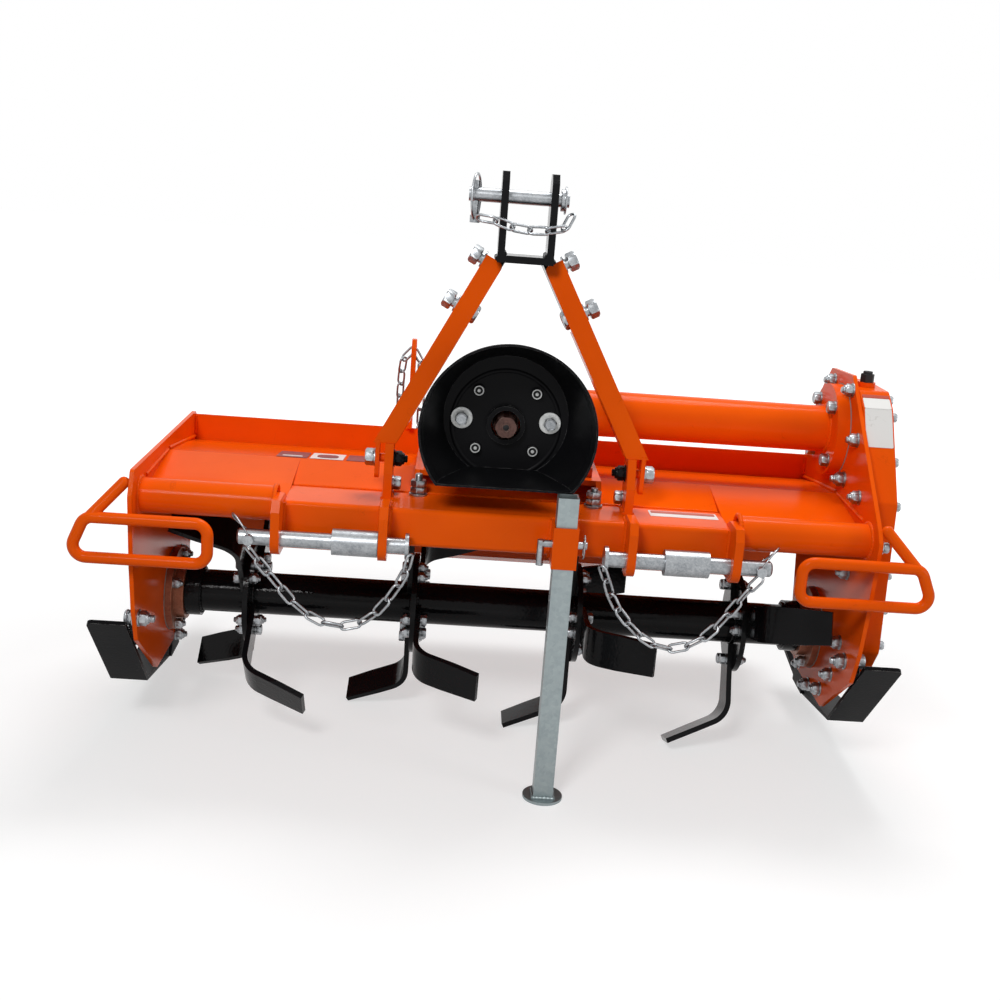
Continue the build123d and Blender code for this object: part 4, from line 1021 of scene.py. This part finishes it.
# %% Caps and oil plugs
bm = bmesh.new()
for axis_point, radius in ((rotor_axis, 0.052), (drive_axis, 0.046)):
    at = Vector((case_side / 1000, axis_point.y, axis_point.z))
    rows = [(0, radius, None), (0.004, radius, None), (0.006, radius - 0.003, None),
            (0.006, radius * 0.6, None), (0.0045, radius * 0.56, None)]
    turned(bm, at, (1, 0, 0), rows, steps=72)
piece("gear_case_caps", bm, [orange_paint])

case_plug, top_plug = 0.009, 0.011
gearbox_side, gearbox_top = -98, 218
bm = bmesh.new()
for back, rise in ((205, 60), (300, -180)):
    hex_head(bm, spot(case_side, back, rise), (1, 0, 0), case_plug, wide=1.4)
for back, rise in ((200, 156), (262, 130)):
    hex_head(bm, spot(gearbox_side, back, rise), (-1, 0, 0), M8, wide=1.2)
hex_head(bm, spot(-10, 245, gearbox_top), (0, 0, 1), top_plug, wide=1.2)
piece("oil_plugs", bm, [zinc_plate])

# %% [markdown]
# ## Blank labels
# Labels are thin vinyl with rounded corners, laid on the paint. Here they carry
# plain areas of colour and nothing else. Each is drawn as one outline on the
# sheet's own slope and lifted by the thickness of the vinyl.

# %% Vinyl colours
vinyl_colours = {
    "vinyl_white": [(0.80, 0.79, 0.77), (0.75, 0.74, 0.72), (0.4, 0.38, 0.34)],
    "vinyl_dark_red": [(0.16, 0.012, 0.018), (0.13, 0.010, 0.014), (0.3, 0.1, 0.1)],
    "vinyl_orange": [(0.50, 0.05, 0.01), (0.44, 0.04, 0.01), (0.4, 0.2, 0.1)],
}
vinyls = [paint(name, *colours, (0.3, 0.42), 0.00003, 300.0, coat=0.2)
          for name, colours in vinyl_colours.items()]
WHITE, DARK_RED, ORANGE = range(3)
print([v.name for v in vinyls])

# %% A label with rounded corners
def label(bm, corner, across, up, width, height, slot, lift=0.0004, corner_radius=0.002):
    """A rounded rectangle from its lower left corner along two directions."""
    across, up = across.normalized(), up.normalized()
    out = across.cross(up).normalized()
    ring = []
    near, far, high = corner_radius, width - corner_radius, height - corner_radius
    for cx, cy, start in ((far, near, -90), (far, high, 0), (near, high, 90), (near, near, 180)):
        for i in range(6):
            angle = math.radians(start + 18 * i)
            ring.append(corner + across * (cx + corner_radius * math.cos(angle))
                        + up * (cy + corner_radius * math.sin(angle)) + out * lift)
    foot = [p - out * lift * 0.8 for p in ring]
    top = [bm.verts.new(p) for p in ring]
    low = [bm.verts.new(p) for p in foot]
    made = [bm.faces.new(top), bm.faces.new(list(reversed(low)))]
    for i in range(len(ring)):
        after = (i + 1) % len(ring)
        made.append(bm.faces.new((low[i], low[after], top[after], top[i])))
    for face in made:
        face.material_index = slot


print("a label is lifted by the vinyl's thickness, 0.4 mm, and what lies on it by 0.9 mm")

# %% Labels on the deck, the beam and the gear case
on_label = 0.0009
right, level_back = Vector((1, 0, 0)), Vector((0, 1, 0))
deck_slope, case_slope, upper_slope = Vector((0, 122, -13)), Vector((0, 78, 123)), Vector((0, 30, 21))
bm = bmesh.new()
for across, width, slot in ((-346, 46, DARK_RED), (-296, 50, WHITE), (-241, 30, DARK_RED)):
    label(bm, spot(across, 203, 66), right, deck_slope, width / 1000, 0.066, slot)
label(bm, spot(-287, 216, 64.8), right, deck_slope, 0.032, 0.034, DARK_RED, on_label, 0.012)
label(bm, spot(-338, 214, 64.9), right, deck_slope, 0.030, 0.008, WHITE, on_label)
label(bm, spot(203, 68, 47), right, level_back, 0.098, 0.030, WHITE)
label(bm, spot(206, 84, 47), right, level_back, 0.092, 0.011, ORANGE, on_label)
label(bm, spot(513, 119.6, 157), right, case_slope, 0.040, 0.0606, WHITE)
label(bm, spot(513, 151.6, 207.9), right, upper_slope, 0.040, 0.021, WHITE)
label(bm, spot(513, 169.4, 220.4), right, upper_slope, 0.040, 0.0065, ORANGE)
piece("blank_labels", bm, vinyls)

# %% [markdown]
# ## Floor, lights and camera
# The machine stands on a plain white floor. Three large soft lamps give the
# even light of a studio: one high in front, one over the back for the tops of
# tubes and sheets, and a weak one low at the side. The world is white to the
# camera and in reflections, but lights the machine less. The floor glows for the
# camera too, least under the machine, so that its shadow stays.

# %% White for the camera
def camera_white(tree):
    """1 for rays from the camera, from gloss and through glass, else 0."""
    rays = tree.nodes.new("ShaderNodeLightPath")
    direct = math_node(tree, "MAXIMUM", rays.outputs["Is Camera Ray"], rays.outputs["Is Glossy Ray"])
    return math_node(tree, "MAXIMUM", direct, rays.outputs["Is Transmission Ray"])


floor_white, tree, shader = new_finish("floor_white")
shader.inputs["Base Color"].default_value = (0.5, 0.5, 0.5, 1)
shader.inputs["Roughness"].default_value = 1.0
shader.inputs["Emission Color"].default_value = (1, 1, 1, 1)
place = tree.nodes.new("ShaderNodeTexCoord")
reach = tree.nodes.new("ShaderNodeVectorMath")
reach.operation = "LENGTH"
tree.links.new(place.outputs["Object"], reach.inputs[0])
further_out = ramp_node(tree, reach.outputs["Value"], 0.9, 2.4, 0.55, 1.0)
glow = math_node(tree, "MULTIPLY", further_out, camera_white(tree))
tree.links.new(glow, shader.inputs["Emission Strength"])
print(floor_white.name, "glows more from 0.9 to 2.4 m out")

# %% Floor and world
bm = bmesh.new()
bmesh.ops.create_grid(bm, x_segments=1, y_segments=1, size=12)
floor_mesh = bpy.data.meshes.new("floor")
bm.to_mesh(floor_mesh)
bm.free()
floor_mesh.materials.append(floor_white)
floor = bpy.data.objects.new("floor", floor_mesh)
floor.location.z = cad_box[0][2]
bpy.context.scene.collection.objects.link(floor)

world = bpy.data.worlds.new("studio")
bpy.context.scene.world = world
world.use_nodes = True
studio = world.node_tree
background = studio.nodes["Background"]
background.inputs["Color"].default_value = (1, 1, 1, 1)
studio.links.new(ramp_node(studio, camera_white(studio), 0, 1, 0.17, 1.0), background.inputs["Strength"])
print("floor at", round(floor.location.z, 4))

# %% Lamps
def lamp(name, place, target, size, watts):
    """A square soft lamp that points at a target."""
    light = bpy.data.lights.new(name, "AREA")
    light.shape = "SQUARE"
    light.size = size
    light.energy = watts
    made = bpy.data.objects.new(name, light)
    made.location = place
    made.rotation_euler = (Vector(target) - Vector(place)).to_track_quat("-Z", "Y").to_euler()
    bpy.context.scene.collection.objects.link(made)
    print(name, watts, "W")


lamp("front_high", (-0.9, -2.2, 2.3), (0, 0.1, 0.35), 0.7, 44)
lamp("over_the_back", (0.4, 0.9, 2.6), (0, 0.2, 0.35), 1.1, 41)
lamp("side_low", (2.4, -1.2, 1.0), (0, 0.1, 0.35), 0.9, 13)

# %% Camera
camera_data = bpy.data.cameras.new("camera")
camera_data.lens = 46.8
camera_data.sensor_width = 36.0
camera = bpy.data.objects.new("camera", camera_data)
stands_at = Vector((-0.0853, -1.7037, 0.8785))
yaw, pitch, roll = (math.radians(a) for a in (2.38, 14.68, -4.31))
forward = Vector((math.sin(yaw) * math.cos(pitch), math.cos(yaw) * math.cos(pitch), -math.sin(pitch)))
level = Vector((math.cos(yaw), -math.sin(yaw), 0))
down = forward.cross(level)
picture_right = level * math.cos(roll) + down * math.sin(roll)
picture_down = down * math.cos(roll) - level * math.sin(roll)
turned_to = Matrix((picture_right, -picture_down, -forward)).transposed()
camera.matrix_world = Matrix.Translation(stands_at) @ turned_to.to_4x4()
bpy.context.scene.collection.objects.link(camera)
bpy.context.scene.camera = camera
bpy.context.scene.view_settings.view_transform = "Standard"
print("camera at", tuple(round(v, 3) for v in camera.location))
